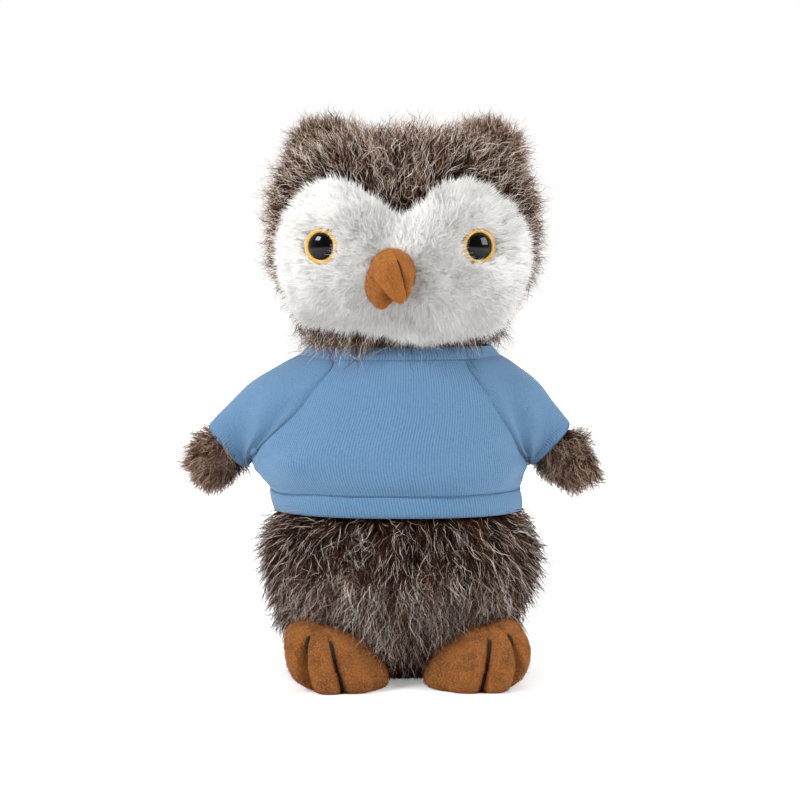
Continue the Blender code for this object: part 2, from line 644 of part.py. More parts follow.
def make_body(neck_socket, armholes, wing_sockets):
    """Body skin in two halves, base panel, pellet bag and filling."""
    front_half, back_half = side_planes("cut_body")
    hollow = as_cutter(closed_form("cut_body_hollow", bare_body_rings(
        FUR_THICKNESS, -OVERRUN, BODY_TOP_Z - FUR_THICKNESS)))
    for label, half in (("front", front_half), ("back", back_half)):
        skin = closed_form(f"body_fur_{label}", bare_body_rings(0.0))
        cut(skin, hollow)
        cut(skin, neck_socket)
        for armhole in armholes:
            cut(skin, armhole)
        cut(skin, half, "INTERSECT")
        dress(skin, "brown_fur")
    inside = FUR_THICKNESS + GAP
    panel = closed_form("body_base_panel", bare_body_rings(inside, 0.0, FELT_THICKNESS))
    bag_low = FELT_THICKNESS + GAP
    bag_high = bag_low + PELLET_BAG_HEIGHT
    bag = closed_form("pellet_bag", bare_body_rings(inside, bag_low, bag_high))
    filling = closed_form("body_stuffing", bare_body_rings(inside, bag_high + GAP,
                                                           BODY_TOP_Z - FUR_THICKNESS - GAP))
    cut(filling, neck_socket)
    for socket in wing_sockets:
        cut(filling, socket)
    dress(panel, "brown_fur")
    dress(bag, "pellet_bag_cloth")
    dress(filling, "polyester_filling")


def shirt_tube(name, low, high, extra, thickness):
    """A stretch of the shirt's wall between two levels."""
    return open_tube(name, body_rings(-extra, low, high), body_rings(thickness - extra, low, high))


def make_shirt(armholes):
    """Front and back panels, the sleeves' shoulder pieces, neckband and hem band."""
    front_half, back_half = side_planes("cut_shirt")
    low, high = HEM_BOTTOM_Z + HEM_HEIGHT + GAP, NECKBAND_BOTTOM_Z - GAP
    seam_top, seam_foot = high + OVERRUN, WING_PIVOT_Z - RAGLAN_BELOW_SHOULDER
    top_x = body_level(high)[0] - RAGLAN_TOP_FROM_SIDE
    foot_x = top_x + RAGLAN_LEAN + RAGLAN_TOP_FROM_SIDE
    reach = foot_x + OVERRUN
    middle = prism_along_y("cut_shirt_middle", (
        (-reach, low - OVERRUN), (reach, low - OVERRUN), (reach, seam_foot), (foot_x, seam_foot),
        (top_x, seam_top), (-top_x, seam_top), (-foot_x, seam_foot), (-reach, seam_foot)), -reach, reach)
    for label, half in (("front", front_half), ("back", back_half)):
        panel = shirt_tube(f"shirt_{label}", low, high, 0.0, JERSEY_THICKNESS)
        cut(panel, middle, "INTERSECT")
        for armhole in armholes:
            cut(panel, armhole)
        cut(panel, half, "INTERSECT")
        dress(panel, "blue_jersey")
    for side, label, armhole in ((1, "left", armholes[0]), (-1, "right", armholes[1])):
        shoulder = shirt_tube(f"sleeve_{label}_shoulder", low, high, 0.0, JERSEY_THICKNESS)
        outside = prism_along_y(f"cut_shoulder_{label}", (
            (side * (foot_x + GAP), seam_foot + GAP), (side * (top_x + GAP), seam_top),
            (side * 2.0 * reach, seam_top), (side * 2.0 * reach, seam_foot + GAP)), -reach, reach)
        cut(shoulder, outside, "INTERSECT")
        cut(shoulder, armhole)
        dress(shoulder, "blue_jersey")
    neckband = shirt_tube("shirt_neckband", NECKBAND_BOTTOM_Z, NECKBAND_BOTTOM_Z + NECKBAND_HEIGHT,
                          NECKBAND_THICKNESS - JERSEY_THICKNESS, NECKBAND_THICKNESS)
    dress(neckband, "blue_jersey")
    hem = shirt_tube("shirt_hem_band", HEM_BOTTOM_Z, HEM_BOTTOM_Z + HEM_HEIGHT,
                     0.0, JERSEY_THICKNESS + HEM_EXTRA_THICKNESS)
    dress(hem, "blue_jersey")


def wing_frame(side, drop_deg):
    """Axes of a wing as rows: out along it, forward and across."""
    drop = math.radians(drop_deg)
    along = np.array([side * math.cos(drop), 0.0, -math.sin(drop)])
    forward = np.array([0.0, 1.0, 0.0])
    return along, forward, np.cross(along, forward)


def limb_ring(frame, pivot, reach, half_across, half_deep):
    """One ring round a wing at a distance from its pivot."""
    along, forward, across = frame
    flat = ring(half_deep, half_across, 2.0, LIMB_SIDES)
    return pivot + reach * along + flat[:, :1] * forward + flat[:, 1:] * across


def wing_rings(frame, pivot, inset):
    """Rings of a wing: a rounded root behind its pivot, then the limb out to its tip."""
    rings = []
    root = WING_ROOT_RADIUS - inset
    deep_share = WING_HALF_DEPTH / WING_ROOT_RADIUS
    for angle_deg in WING_ROOT_ANGLES_DEG:
        angle = math.radians(angle_deg)
        rings.append(limb_ring(frame, pivot, -WING_ROOT_RADIUS * math.sin(angle),
                               root * math.cos(angle), root * math.cos(angle) * deep_share))
    for length_share, across_share, deep_of_share in WING_OUTLINE_shares:
        across = across_share * root
        deep = deep_of_share * root * deep_share
        rings.append(limb_ring(frame, pivot, length_share * (WING_LENGTH - inset), across, deep))
    return rings


def sleeve_level(reach):
    """Half sizes of a wing's outside at a distance from its pivot."""
    shares = np.array(WING_OUTLINE_shares)
    level = reach / WING_LENGTH
    return (np.interp(level, shares[:, 0], shares[:, 1]) * WING_ROOT_RADIUS,
            np.interp(level, shares[:, 0], shares[:, 2]) * WING_HALF_DEPTH)


def sleeve_tube(name, frame, pivot, start, end, thickness):
    """A stretch of a sleeve round the wing."""
    outer, inner = [], []
    for reach in np.linspace(start, end, SLEEVE_RINGS):
        across, deep = sleeve_level(reach)
        inside = GAP + SLEEVE_EASE
        inner.append(limb_ring(frame, pivot, reach, across + inside, deep + inside))
        outer.append(limb_ring(frame, pivot, reach, across + inside + thickness, deep + inside + thickness))
    return open_tube(name, outer, inner)


def armhole_radius():
    """Radius of the hole in the jersey and the skin that a wing's root and sleeve turn in."""
    return WING_ROOT_RADIUS + GAP + SLEEVE_EASE + JERSEY_THICKNESS + ARMHOLE_EASE


def make_wing(side, label, drop_deg):
    """One wing: skin, filling, sleeve and cuff, on its shoulder pivot."""
    pivot = np.array(shoulder_pivot(side))
    frame = wing_frame(side, drop_deg)
    skin = cup(f"wing_{label}_fur", wing_rings(frame, pivot, 0.0),
               wing_rings(frame, pivot, WING_FUR_THICKNESS))
    filling = closed_form(f"wing_{label}_stuffing", wing_rings(frame, pivot, WING_FUR_THICKNESS + GAP))
    cuff_start = SLEEVE_LENGTH - CUFF_WIDTH
    sleeve = sleeve_tube(f"sleeve_{label}", frame, pivot, SLEEVE_ROOT_START, cuff_start - GAP,
                         JERSEY_THICKNESS)
    cuff = sleeve_tube(f"sleeve_{label}_cuff", frame, pivot, cuff_start, SLEEVE_LENGTH,
                       JERSEY_THICKNESS + HEM_EXTRA_THICKNESS)
    dress(skin, "brown_fur", pivot)
    dress(filling, "polyester_filling", pivot)
    dress(sleeve, "blue_jersey", pivot)
    dress(cuff, "blue_jersey", pivot)


def foot_ring(height_share, plan_share, inset):
    """A foot's ring in its own axes: an ellipse with the toes' notches at its front (-Y)."""
    angle = np.linspace(0.0, 2.0 * math.pi, FOOT_SIDES, endpoint=False) - 0.5 * math.pi
    notch = TOE_NOTCH_STEPS * 2.0 * math.pi / FOOT_SIDES
    width = math.radians(TOE_NOTCH_WIDTH_DEG)
    from_front = angle + 0.5 * math.pi
    from_front = np.where(from_front > math.pi, from_front - 2.0 * math.pi, from_front)
    pinch = sum(np.exp(-((from_front - place) / width) ** 2) for place in (-notch, notch))
    x = np.cos(angle) * (FOOT_HALF_WIDTH - inset) * plan_share
    y = np.sin(angle) * (FOOT_HALF_LENGTH - inset) * plan_share
    shrink = 1.0 - pinch * TOE_NOTCH_DEPTH / FOOT_HALF_LENGTH
    z = np.full(FOOT_SIDES, height_share * (FOOT_HEIGHT - inset))
    return np.column_stack([x * shrink, y * shrink, z])


def foot_to_world(points, hinge, turn_deg):
    """Place points given in a foot's own axes, with its heel on the hinge."""
    turn = math.radians(turn_deg)
    heel = FOOT_HALF_LENGTH * FOOT_HEEL_share
    x, y = points[:, 0], points[:, 1] - heel
    return np.column_stack([hinge[0] + x * math.cos(turn) - y * math.sin(turn),
                            hinge[1] + x * math.sin(turn) + y * math.cos(turn), points[:, 2]])


def make_foot(label, hinge, turn_deg, body_envelope):
    """One foot: felt upper, sole, filling and its two toe threads."""
    origin = (hinge[0], hinge[1], 0.0)

    def form(inset):
        return [foot_to_world(foot_ring(h, s, inset), hinge, turn_deg) for h, s in FOOT_OUTLINE_shares]

    reach, behind = 4.0 * FOOT_HALF_LENGTH, FOOT_HALF_LENGTH * FOOT_HEEL_share - GAP
    heel = box(f"cut_heel_{label}", (-reach, behind, -OVERRUN), (reach, behind + reach, 2.0 * FOOT_HEIGHT))
    corners = np.array([tuple(v.co) for v in heel.data.vertices])
    heel.data.vertices.foreach_set("co", foot_to_world(corners, hinge, turn_deg).ravel())
    upper = cup(f"foot_{label}_upper", form(0.0), form(FELT_THICKNESS))
    under = foot_ring(0.0, FOOT_OUTLINE_shares[0][1], FELT_THICKNESS + GAP)
    over = under + np.array([0.0, 0.0, FELT_THICKNESS])
    sole = closed_form(f"foot_{label}_sole", [
        foot_to_world(points, hinge, turn_deg) for points in (under, over)])
    filling = closed_form(f"foot_{label}_stuffing", form(FELT_THICKNESS + GAP))
    floor_cut = box(f"cut_sole_{label}", (hinge[0] - reach, hinge[1] - reach, -OVERRUN),
                    (hinge[0] + reach, hinge[1] + reach, FELT_THICKNESS + GAP))
    cut(filling, floor_cut)
    for made, finish in ((upper, "orange_felt"), (sole, "orange_felt"), (filling, "polyester_filling")):
        cut(made, heel)
        cut(made, body_envelope)
        dress(made, finish, origin)
    notch = TOE_NOTCH_STEPS * 2.0 * math.pi / FOOT_SIDES
    for sign, place_name in ((1, "outer"), (-1, "inner")):
        route = []
        for height_share, plan_share in FOOT_OUTLINE_shares[1:6]:
            radius_share = plan_share * (1.0 - TOE_NOTCH_DEPTH / FOOT_HALF_LENGTH)
            clear = GAP + TOE_THREAD_RADIUS
            route.append((math.sin(sign * notch) * (FOOT_HALF_WIDTH * radius_share + clear),
                          -math.cos(notch) * (FOOT_HALF_LENGTH * radius_share + clear),
                          height_share * FOOT_HEIGHT + clear * height_share))
        thread = thread_tube(f"foot_{label}_toe_thread_{place_name}",
                             foot_to_world(np.array(route), hinge, turn_deg), TOE_THREAD_RADIUS)
        dress(thread, "black_thread", origin)


def build():
    """Build the whole owl."""
    clear_scene()
    neck_pivot = (0.0, 0.0, NECK_PIVOT_Z)
    neck = ball("neck_stuffing", neck_pivot, NECK_RADIUS)
    dress(neck, "polyester_filling", neck_pivot)
    neck_socket = as_cutter(ball("cut_neck_socket", neck_pivot, round_hollow(NECK_RADIUS)))
    shoulders = [("left", shoulder_pivot(1)), ("right", shoulder_pivot(-1))]
    armholes = [as_cutter(ball(f"cut_armhole_{label}", place, armhole_radius()))
                for label, place in shoulders]
    wing_sockets = [as_cutter(ball(f"cut_wing_socket_{label}", place, round_hollow(WING_ROOT_RADIUS)))
                    for label, place in shoulders]
    make_head(neck_pivot, neck_socket)
    make_body(neck_socket, armholes, wing_sockets)
    make_shirt(armholes)
    make_wing(1, "left", WING_LEFT_DROP_DEG)
    make_wing(-1, "right", WING_RIGHT_DROP_DEG)
    envelope = as_cutter(closed_form("cut_body_envelope", body_rings(-GAP)))
    make_foot("left", foot_hinge(FOOT_LEFT_X), FOOT_LEFT_TURN_DEG, envelope)
    make_foot("right", foot_hinge(FOOT_RIGHT_X), FOOT_RIGHT_TURN_DEG, envelope)


build()
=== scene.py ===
"""Looks of the plush owl: its fur, white face, felt beak and feet, safety eyes and knitted jersey.

Everything is in metres in the frame of the CAD model: +Z up, the owl faces -Y, its left side is at +X.
Every form is a grid of points worked out by a formula, and every pile of fur is a set of thin tapering
strands, flat ribbons or three-sided spikes, that grow from such a grid.
"""

import json
import logging
import math
from dataclasses import dataclass
from enum import Enum

import bpy
import numpy as np
from numpy.typing import NDArray
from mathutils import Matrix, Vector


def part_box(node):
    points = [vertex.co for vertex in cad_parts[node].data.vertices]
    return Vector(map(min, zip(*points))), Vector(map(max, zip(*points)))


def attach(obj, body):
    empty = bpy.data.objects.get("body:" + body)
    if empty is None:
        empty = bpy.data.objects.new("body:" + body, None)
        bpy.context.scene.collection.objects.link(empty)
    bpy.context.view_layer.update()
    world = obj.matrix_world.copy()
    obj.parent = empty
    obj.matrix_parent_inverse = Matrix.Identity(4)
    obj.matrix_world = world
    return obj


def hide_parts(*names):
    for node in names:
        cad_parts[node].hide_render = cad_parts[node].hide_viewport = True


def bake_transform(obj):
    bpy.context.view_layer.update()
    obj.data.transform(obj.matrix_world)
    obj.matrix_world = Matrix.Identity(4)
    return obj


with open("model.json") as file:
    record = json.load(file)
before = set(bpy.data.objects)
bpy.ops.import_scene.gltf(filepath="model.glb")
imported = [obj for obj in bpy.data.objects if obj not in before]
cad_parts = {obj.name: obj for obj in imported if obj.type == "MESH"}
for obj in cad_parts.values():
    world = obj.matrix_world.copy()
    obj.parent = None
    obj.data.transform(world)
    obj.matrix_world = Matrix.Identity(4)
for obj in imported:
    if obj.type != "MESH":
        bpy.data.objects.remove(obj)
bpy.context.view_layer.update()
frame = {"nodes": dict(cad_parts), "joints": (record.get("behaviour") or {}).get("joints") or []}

MM = 0.001
FULL_TURN = 2.0 * math.pi
SEED = 41
FLOOR_GAP = 0.3 * MM
LEAST_RADIUS = 1e-7
WHITE = (1.0, 1.0, 1.0, 1.0)

log = logging.getLogger("plush_owl")

Array = NDArray[np.float64]
Colour = tuple[float, float, float]


class Side(Enum):
    """The owl's own left and right, as the sign of their x."""

    LEFT = 1
    RIGHT = -1

    @property
    def label(self) -> str:
        """The side's name as the CAD nodes write it."""
        return self.name.lower()


class Cloth(Enum):
    STRETCHED = "stretched"
    GATHERED = "gathered"


def unit(vectors: Array) -> Array:
    """Scale vectors to length one.

    Args:
        vectors: An array whose last axis holds x, y and z.

    Returns:
        The array with every vector divided by its length.
    """
    return vectors / np.maximum(np.linalg.norm(vectors, axis=-1, keepdims=True), 1e-12)


def round_angles(columns: int) -> Array:
    """Angles that part a full turn evenly, from 0."""
    return np.arange(columns) * FULL_TURN / columns


def smooth_rows(table: Array, places: Array) -> Array:
    """Read a table between its rows along a curve that passes every row smoothly.

    The curve is the cubic whose slope at a row is half the step between its two neighbours.

    Args:
        table: Rows of values.
        places: Row numbers, whole or not, at which the table is read.

    Returns:
        One row of values for each place.
    """
    rows = np.asarray(table, dtype=float)
    ends = np.vstack([2 * rows[0] - rows[1], rows, 2 * rows[-1] - rows[-2]])
    first = np.clip(np.floor(places).astype(int), 0, len(rows) - 2)
    t = (np.asarray(places) - first)[:, None]
    before, start, end, after = (ends[first + step] for step in range(4))
    return 0.5 * (2 * start + (end - before) * t + (2 * before - 5 * start + 4 * end - after) * t**2
                  + (3 * start - before - 3 * end + after) * t**3)


def read_table(table: Array, key: Array) -> Array:
    """Read a table smoothly by its first column, which rises from row to row.

    Args:
        table: Rows whose first value is the key.
        key: Keys at which the other columns are read.

    Returns:
        One row of the other columns for each key.
    """
    rows = np.asarray(table, dtype=float)
    places = np.interp(key, rows[:, 0], np.arange(len(rows)))
    return smooth_rows(rows, places)[:, 1:]


def wavy(points: Array, size: float, seed: int) -> Array:
    """A smooth random vector at each point: value noise on a lattice.

    Each lattice cell corner holds a random vector from a seeded table, and a point takes the eight round
    it, weighted by 3t^2 - 2t^3 of its place in the cell along each axis.

    Args:
        points: Points, one per row.
        size: Width of a lattice cell in metres.
        seed: Seed of the table.

    Returns:
        One vector per point, each value between -1 and 1.
    """
    table = np.random.default_rng(seed).uniform(-1.0, 1.0, (32, 32, 32, 3))
    place = points / size
    cell = np.floor(place).astype(int)
    share = place - cell
    share = share * share * (3.0 - 2.0 * share)
    total = np.zeros_like(points)
    for corner in np.ndindex(2, 2, 2):
        weight = np.prod(np.where(corner, share, 1.0 - share), axis=1)
        x, y, z = ((cell + corner) % 32).T
        total += weight[:, None] * table[x, y, z]
    return total


def make_mesh(name: str, vertices: Array, corners: NDArray[np.int64], starts: NDArray[np.int64],
              uv: Array | None = None, values: dict[str, Array] | None = None,
              shading: Array | None = None) -> bpy.types.Object:
    """Put arrays of points and faces into a new mesh object.

    Args:
        name: Name of the piece.
        vertices: Points, one per row.
        corners: Vertex numbers of all faces, one face after another.
        starts: Place in corners at which each face starts.
        uv: Flat cloth coordinates of each vertex, or None.
        values: Named values of each vertex, kept as attributes.
        shading: Normal that each vertex is shaded with, or None for the faces' own.

    Returns:
        The new object, smooth shaded and linked to the scene.
    """
    mesh = bpy.data.meshes.new(name)
    mesh.vertices.add(len(vertices))
    mesh.vertices.foreach_set("co", np.asarray(vertices, dtype=np.float32).ravel())
    mesh.loops.add(len(corners))
    mesh.loops.foreach_set("vertex_index", corners.astype(np.int32))
    mesh.polygons.add(len(starts))
    mesh.polygons.foreach_set("loop_start", starts.astype(np.int32))
    mesh.update(calc_edges=True)
    if uv is not None:
        layer = mesh.uv_layers.new(name="cloth")
        layer.data.foreach_set("uv", np.asarray(uv, dtype=np.float32)[corners].ravel())
    for value_name, value in (values or {}).items():
        kept = mesh.attributes.new(value_name, "FLOAT", "POINT")
        kept.data.foreach_set("value", np.asarray(value, dtype=np.float32).ravel())
    mesh.validate()
    mesh.shade_smooth()
    if shading is not None:
        mesh.normals_split_custom_set_from_vertices(shading)
    made = bpy.data.objects.new(name, mesh)
    bpy.context.scene.collection.objects.link(made)
    return made


@dataclass
class Skin:
    """A surface as a grid of points, whose rows go up or along it and whose columns go round it.

    Columns run anticlockwise as seen from the end of the rows, so the faces point outwards.
    """

    points: Array

    def normals(self) -> Array:
        """Outward unit normals of the grid: the cross product of its column and row steps."""
        across = np.roll(self.points, -1, axis=1) - np.roll(self.points, 1, axis=1)
        along = np.gradient(self.points, axis=0)
        normals = unit(np.cross(across, along))
        drawn_in = np.linalg.norm(across, axis=-1).max(axis=1) < 1e-6
        if drawn_in[0]:
            normals[0] = unit(normals[1].mean(axis=0, keepdims=True))
        if drawn_in[-1]:
            normals[-1] = unit(normals[-2].mean(axis=0, keepdims=True))
        return normals

    def grown(self, outwards: float | Array) -> "Skin":
        """The same surface moved along its normals.

        Args:
            outwards: Distance in metres, one for all or one per grid point.

        Returns:
            The moved surface.
        """
        shift = np.asarray(outwards, dtype=float)
        if shift.ndim:
            shift = shift[..., None]
        return Skin(self.points + self.normals() * shift)

    def mirrored(self) -> "Skin":
        """The surface on the other side of the owl, its columns turned round to keep it facing outwards."""
        return Skin((self.points * np.array([-1.0, 1.0, 1.0]))[:, ::-1])

    def faces(self) -> tuple[NDArray[np.int64], NDArray[np.int64]]:
        """Quads between neighbouring grid points.

        Returns:
            The corners of all quads, and the place at which each starts.
        """
        rows, columns = self.points.shape[:2]
        numbers = np.arange(rows * columns).reshape(rows, columns)
        after = np.roll(numbers, -1, axis=1)
        quads = np.stack([numbers[:-1], after[:-1], after[1:], numbers[1:]], axis=-1).reshape(-1, 4)
        return quads.ravel(), np.arange(len(quads)) * 4

    def piece(self, name: str, uv: Array | None = None,
              keep: NDArray[np.bool_] | None = None) -> bpy.types.Object:
        """Make the grid a mesh object.

        Args:
            name: Name of the piece.
            uv: Flat cloth coordinates of each grid point, or None.
            keep: True for each quad that stays, in row order, or None for all.

        Returns:
            The new object.
        """
        corners, starts = self.faces()
        points = self.points.reshape(-1, 3)
        flat_uv = None if uv is None else uv.reshape(-1, 2)
        if keep is not None:
            corners = corners.reshape(-1, 4)[keep].ravel()
            used, corners = np.unique(corners, return_inverse=True)
            starts = np.arange(len(corners) // 4) * 4
            points = points[used]
            flat_uv = None if flat_uv is None else flat_uv[used]
        return make_mesh(name, points, corners.ravel(), starts, flat_uv)

    def scatter(self, count: int, rng: np.random.Generator,
                weight: Array | None = None) -> tuple[Array, Array]:
        """Pick points spread evenly over the surface.

        A quad is picked by its area times the weight, and a point in it by two even random shares.

        Args:
            count: Number of points.
            rng: Random source.
            weight: Density at each grid point, or None for an even spread.

        Returns:
            The points, and the surface's unit normals there.
        """

        def joined(grid: Array) -> Array:
            """Repeat a grid's first column after its last one."""
            return np.concatenate([grid, grid[:, :1]], axis=1)

        points, normals = joined(self.points), joined(self.normals())
        a, b, c, d = points[:-1, :-1], points[:-1, 1:], points[1:, 1:], points[1:, :-1]
        area = 0.5 * np.linalg.norm(np.cross(c - a, d - b), axis=-1)
        if weight is not None:
            whole = joined(weight)
            area = area * 0.25 * (whole[:-1, :-1] + whole[:-1, 1:] + whole[1:, 1:] + whole[1:, :-1])
        rows, columns = area.shape
        steps = np.cumsum(area.ravel())
        picked = np.searchsorted(steps, rng.random(count) * steps[-1])
        row, column = np.unravel_index(np.minimum(picked, rows * columns - 1), (rows, columns))
        u, v = rng.random((2, count, 1))

        def between(grid: Array) -> Array:
            """Read a grid at the picked shares of each picked quad."""
            low = grid[row, column] * (1 - u) + grid[row, column + 1] * u
            high = grid[row + 1, column] * (1 - u) + grid[row + 1, column + 1] * u
            return low * (1 - v) + high * v

        return between(points), unit(between(normals))


@dataclass(frozen=True)
class Pile:
    """How one kind of fur grows: its size, its lean and its disorder.

    A strand leaves its root along one direction and ends along another, and its shape is the curve whose
    direction turns evenly from the first to the second, wound into a loose wave. Root lean and tip lean
    are how far each direction leans from the surface's normal along the combing, lock is the share of a
    smooth random vector that neighbours have in common, and loose the share that each strand has for
    itself. A frosted strand is finer and ends pale. Soften is how far a strand is shaded as the skin
    under it. Strands of one clump lean together and close up towards their tips. Sides is 2 for flat
    ribbons and 3 for three-sided spikes. The random vector of a lock is a noise and a clump's own
    vector, each times its mix. No strand rises less than the least rise, and the ranges are the shares
    of the full length, width and waves between which strands vary.
    """

    length: float
    width: float
    spread: float = 0.25
    root_lean: float = 0.4
    tip_lean: float = 1.5
    rise: float = 0.35
    lock: float = 0.6
    lock_size: float = 5.0 * MM
    loose: float = 0.3
    curl: float = 0.06
    waves: float = 1.3
    joints: int = 4
    frosted: float = 0.35
    fine: float = 0.6
    soften: float = 0.5
    clump: float = 0.0
    clump_size: float = 3.0 * MM
    sides: int = 2
    noise_mix: float = 0.7
    clump_mix: float = 0.6
    least_rise: float = 0.1
    length_range: tuple[float, float] = (0.45, 1.6)
    width_range: tuple[float, float] = (0.75, 1.25)
    wave_range: tuple[float, float] = (0.6, 1.4)

    def clumps(self, roots: Array, seed: int) -> tuple[Array, Array]:
        """Part the roots into clumps by the cells of a wavering grid.

        Args:
            roots: Points on the skin.
            seed: Seed of everything random here.

        Returns:
            The way from each root to the middle of its clump, and a random vector that its clump shares.
        """
        wavering = roots / self.clump_size + 0.4 * wavy(roots, 1.5 * self.clump_size, seed)
        cells, which = np.unique(np.floor(wavering).astype(int), axis=0, return_inverse=True)
        which = which.ravel()
        total = np.zeros((len(cells), 3))
        np.add.at(total, which, roots)
        middles = total / np.bincount(which)[:, None]
        shared = np.random.default_rng(seed).normal(size=(len(cells), 3))
        return middles[which] - roots, shared[which]

    def strand_faces(self, count: int) -> tuple[NDArray[np.int64], NDArray[np.int64]]:
        """Faces of all strands: quads from joint to joint, and triangles that meet in the tip.

        Args:
            count: Number of strands.

        Returns:
            The corners of all faces, and the place at which each starts.
        """
        per_strand = self.sides * self.joints + 1
        faces_round = 1 if self.sides == 2 else self.sides
        this = np.arange(faces_round)
        following = (this + 1) % self.sides
        ring = (np.arange(self.joints - 1) * self.sides)[:, None]
        quads = np.stack([ring + this, ring + following, ring + self.sides + following,
                          ring + self.sides + this], axis=-1).ravel()
        top = self.sides * (self.joints - 1)
        tips = np.stack([top + this, top + following, np.full(faces_round, per_strand - 1)], axis=-1).ravel()
        pattern = np.concatenate([quads, tips])
        sizes = np.concatenate([np.full(faces_round * (self.joints - 1), 4), np.full(faces_round, 3)])
        corners = (pattern[None] + np.arange(count)[:, None] * per_strand).ravel()
        starts = ((np.cumsum(sizes) - sizes)[None] + np.arange(count)[:, None] * len(pattern)).ravel()
        return corners, starts

    def grow(self, name: str, roots: Array, normals: Array, comb: Array, seed: int,
             scale: Array | None = None, lift: Array | None = None) -> bpy.types.Object:
        """Grow one tapering strand from each root.

        A point at share t of a strand lies at root + length (first (t - t^2 / 2) + last t^2 / 2), plus a
        turning wave of height curl t and a share clump t^1.5 of the way to the clump's middle. The
        strand's width falls as 1 - t^2, its front looks away from the skin, and it ends in one point. The
        share t is kept as "along", a random share of each strand as "tone", and 1 on the frosted strands
        as "frost".

        Args:
            name: Name of the piece.
            roots: Points on the skin.
            normals: Unit normals there.
            comb: Direction in which the pile is combed at each root.
            seed: Seed of everything random here.
            scale: Share of the pile's length at each root, or None.
            lift: Share of the pile's rise at each root, or None.

        Returns:
            The pile as one mesh object.
        """
        rng = np.random.default_rng(seed)
        count = len(roots)
        flat = comb - np.sum(comb * normals, axis=1, keepdims=True) * normals
        flat = flat / np.maximum(np.linalg.norm(flat, axis=1, keepdims=True), 1.0)
        inwards, shared = self.clumps(roots, seed + 2)
        locks = self.noise_mix * wavy(roots, self.lock_size, seed) + self.clump_mix * shared
        own = rng.normal(size=(2, count, 3))
        rise = np.ones((count, 1)) if lift is None else lift[:, None]
        first = unit(rise * normals + self.root_lean * flat + 0.5 * self.lock * locks
                     + self.loose * own[0])
        last = unit(self.rise * rise * normals + self.tip_lean * flat + self.lock * locks
                    + self.loose * own[1])
        missing = self.least_rise - np.sum(first * normals, axis=1, keepdims=True)
        first = unit(first + np.maximum(missing, 0.0) * normals)
        length = self.length * np.exp(self.spread * rng.normal(size=count)).clip(*self.length_range)
        if scale is not None:
            length = length * scale
        t = np.linspace(0.0, 1.0, self.joints + 1)[None, :, None]
        path = (first[:, None] * (t - 0.5 * t**2) + last[:, None] * 0.5 * t**2) * length[:, None, None]
        side = unit(np.cross(first + last, rng.normal(size=(count, 3))))
        front = unit(np.cross(side, first + last))
        side *= np.sign(np.sum(front * normals, axis=1, keepdims=True) + 1e-9)
        front = unit(np.cross(side, first + last))
        phase = rng.uniform(0.0, FULL_TURN, (count, 1, 1))
        turn = phase + self.waves * FULL_TURN * t * rng.uniform(*self.wave_range, (count, 1, 1))
        reach = (self.curl * length)[:, None, None] * t
        path += reach * (np.sin(turn) * side[:, None] + np.cos(turn) * front[:, None])
        path += roots[:, None] + self.clump * t**1.5 * inwards[:, None]
        frost = rng.random(count) < self.frosted
        slim = np.where(frost, self.fine, 1.0)[:, None, None]
        slim = slim * rng.uniform(*self.width_range, (count, 1, 1))
        half = (0.5 * self.width * slim * (1.0 - t[:, :-1]**2))[:, :, None]
        turn = (0.5 - 2.0 * np.arange(self.sides) / self.sides)[None, None, :, None] * math.pi
        body = (path[:, :-1, None] - half * np.sin(turn) * side[:, None, None]
                + half * np.cos(turn) * front[:, None, None])
        vertices = np.concatenate([body.reshape(count, self.sides * self.joints, 3), path[:, -1:]], axis=1)
        vertices[..., 2] = np.maximum(vertices[..., 2], FLOOR_GAP)
        per_strand = vertices.shape[1]
        along = np.concatenate([np.repeat(t[0, :-1, 0], self.sides), [1.0]])
        values = {
            "along": np.tile(along, count),
            "tone": np.repeat(rng.random(count), per_strand),
            "frost": np.repeat(frost.astype(float), per_strand),
        }
        shading = np.repeat(unit(self.soften * normals + (1.0 - self.soften) * front), per_strand, axis=0)
        return make_mesh(name, vertices.reshape(-1, 3), *self.strand_faces(count), None, values, shading)


class Nodes:
    """A node tree, with a method for each step that the world and the finishes share."""

    def __init__(self, tree: bpy.types.NodeTree) -> None:
        """Work on a tree that exists already."""
        self.tree = tree

    def node(self, kind: str, inputs: dict[str | int, object] | None = None,
             **settings: object) -> bpy.types.Node:
        """Add a node.

        Args:
            kind: Blender's name of the node type.
            inputs: Sockets by name or number, each with a value or with an output to link.
            **settings: Properties of the node.

        Returns:
            The new node.
        """
        made = self.tree.nodes.new(kind)
        for key, value in settings.items():
            setattr(made, key, value)
        for key, value in (inputs or {}).items():
            self.feed(made.inputs[key], value)
        return made

    def feed(self, socket: bpy.types.NodeSocket, value: object) -> None:
        """Link an output to a socket, or set the socket's own value."""
        if isinstance(value, bpy.types.NodeSocket):
            self.tree.links.new(value, socket)
        else:
            socket.default_value = value

    def sum(self, operation: str, *values: object) -> bpy.types.NodeSocket:
        """A Math node on one, two or three values."""
        return self.node("ShaderNodeMath", dict(enumerate(values)), operation=operation).outputs[0]

    def place(self, kind: str = "Object") -> bpy.types.NodeSocket:
        """Coordinates, by Blender's name: Object ones are in metres."""
        return self.node("ShaderNodeTexCoord").outputs[kind]


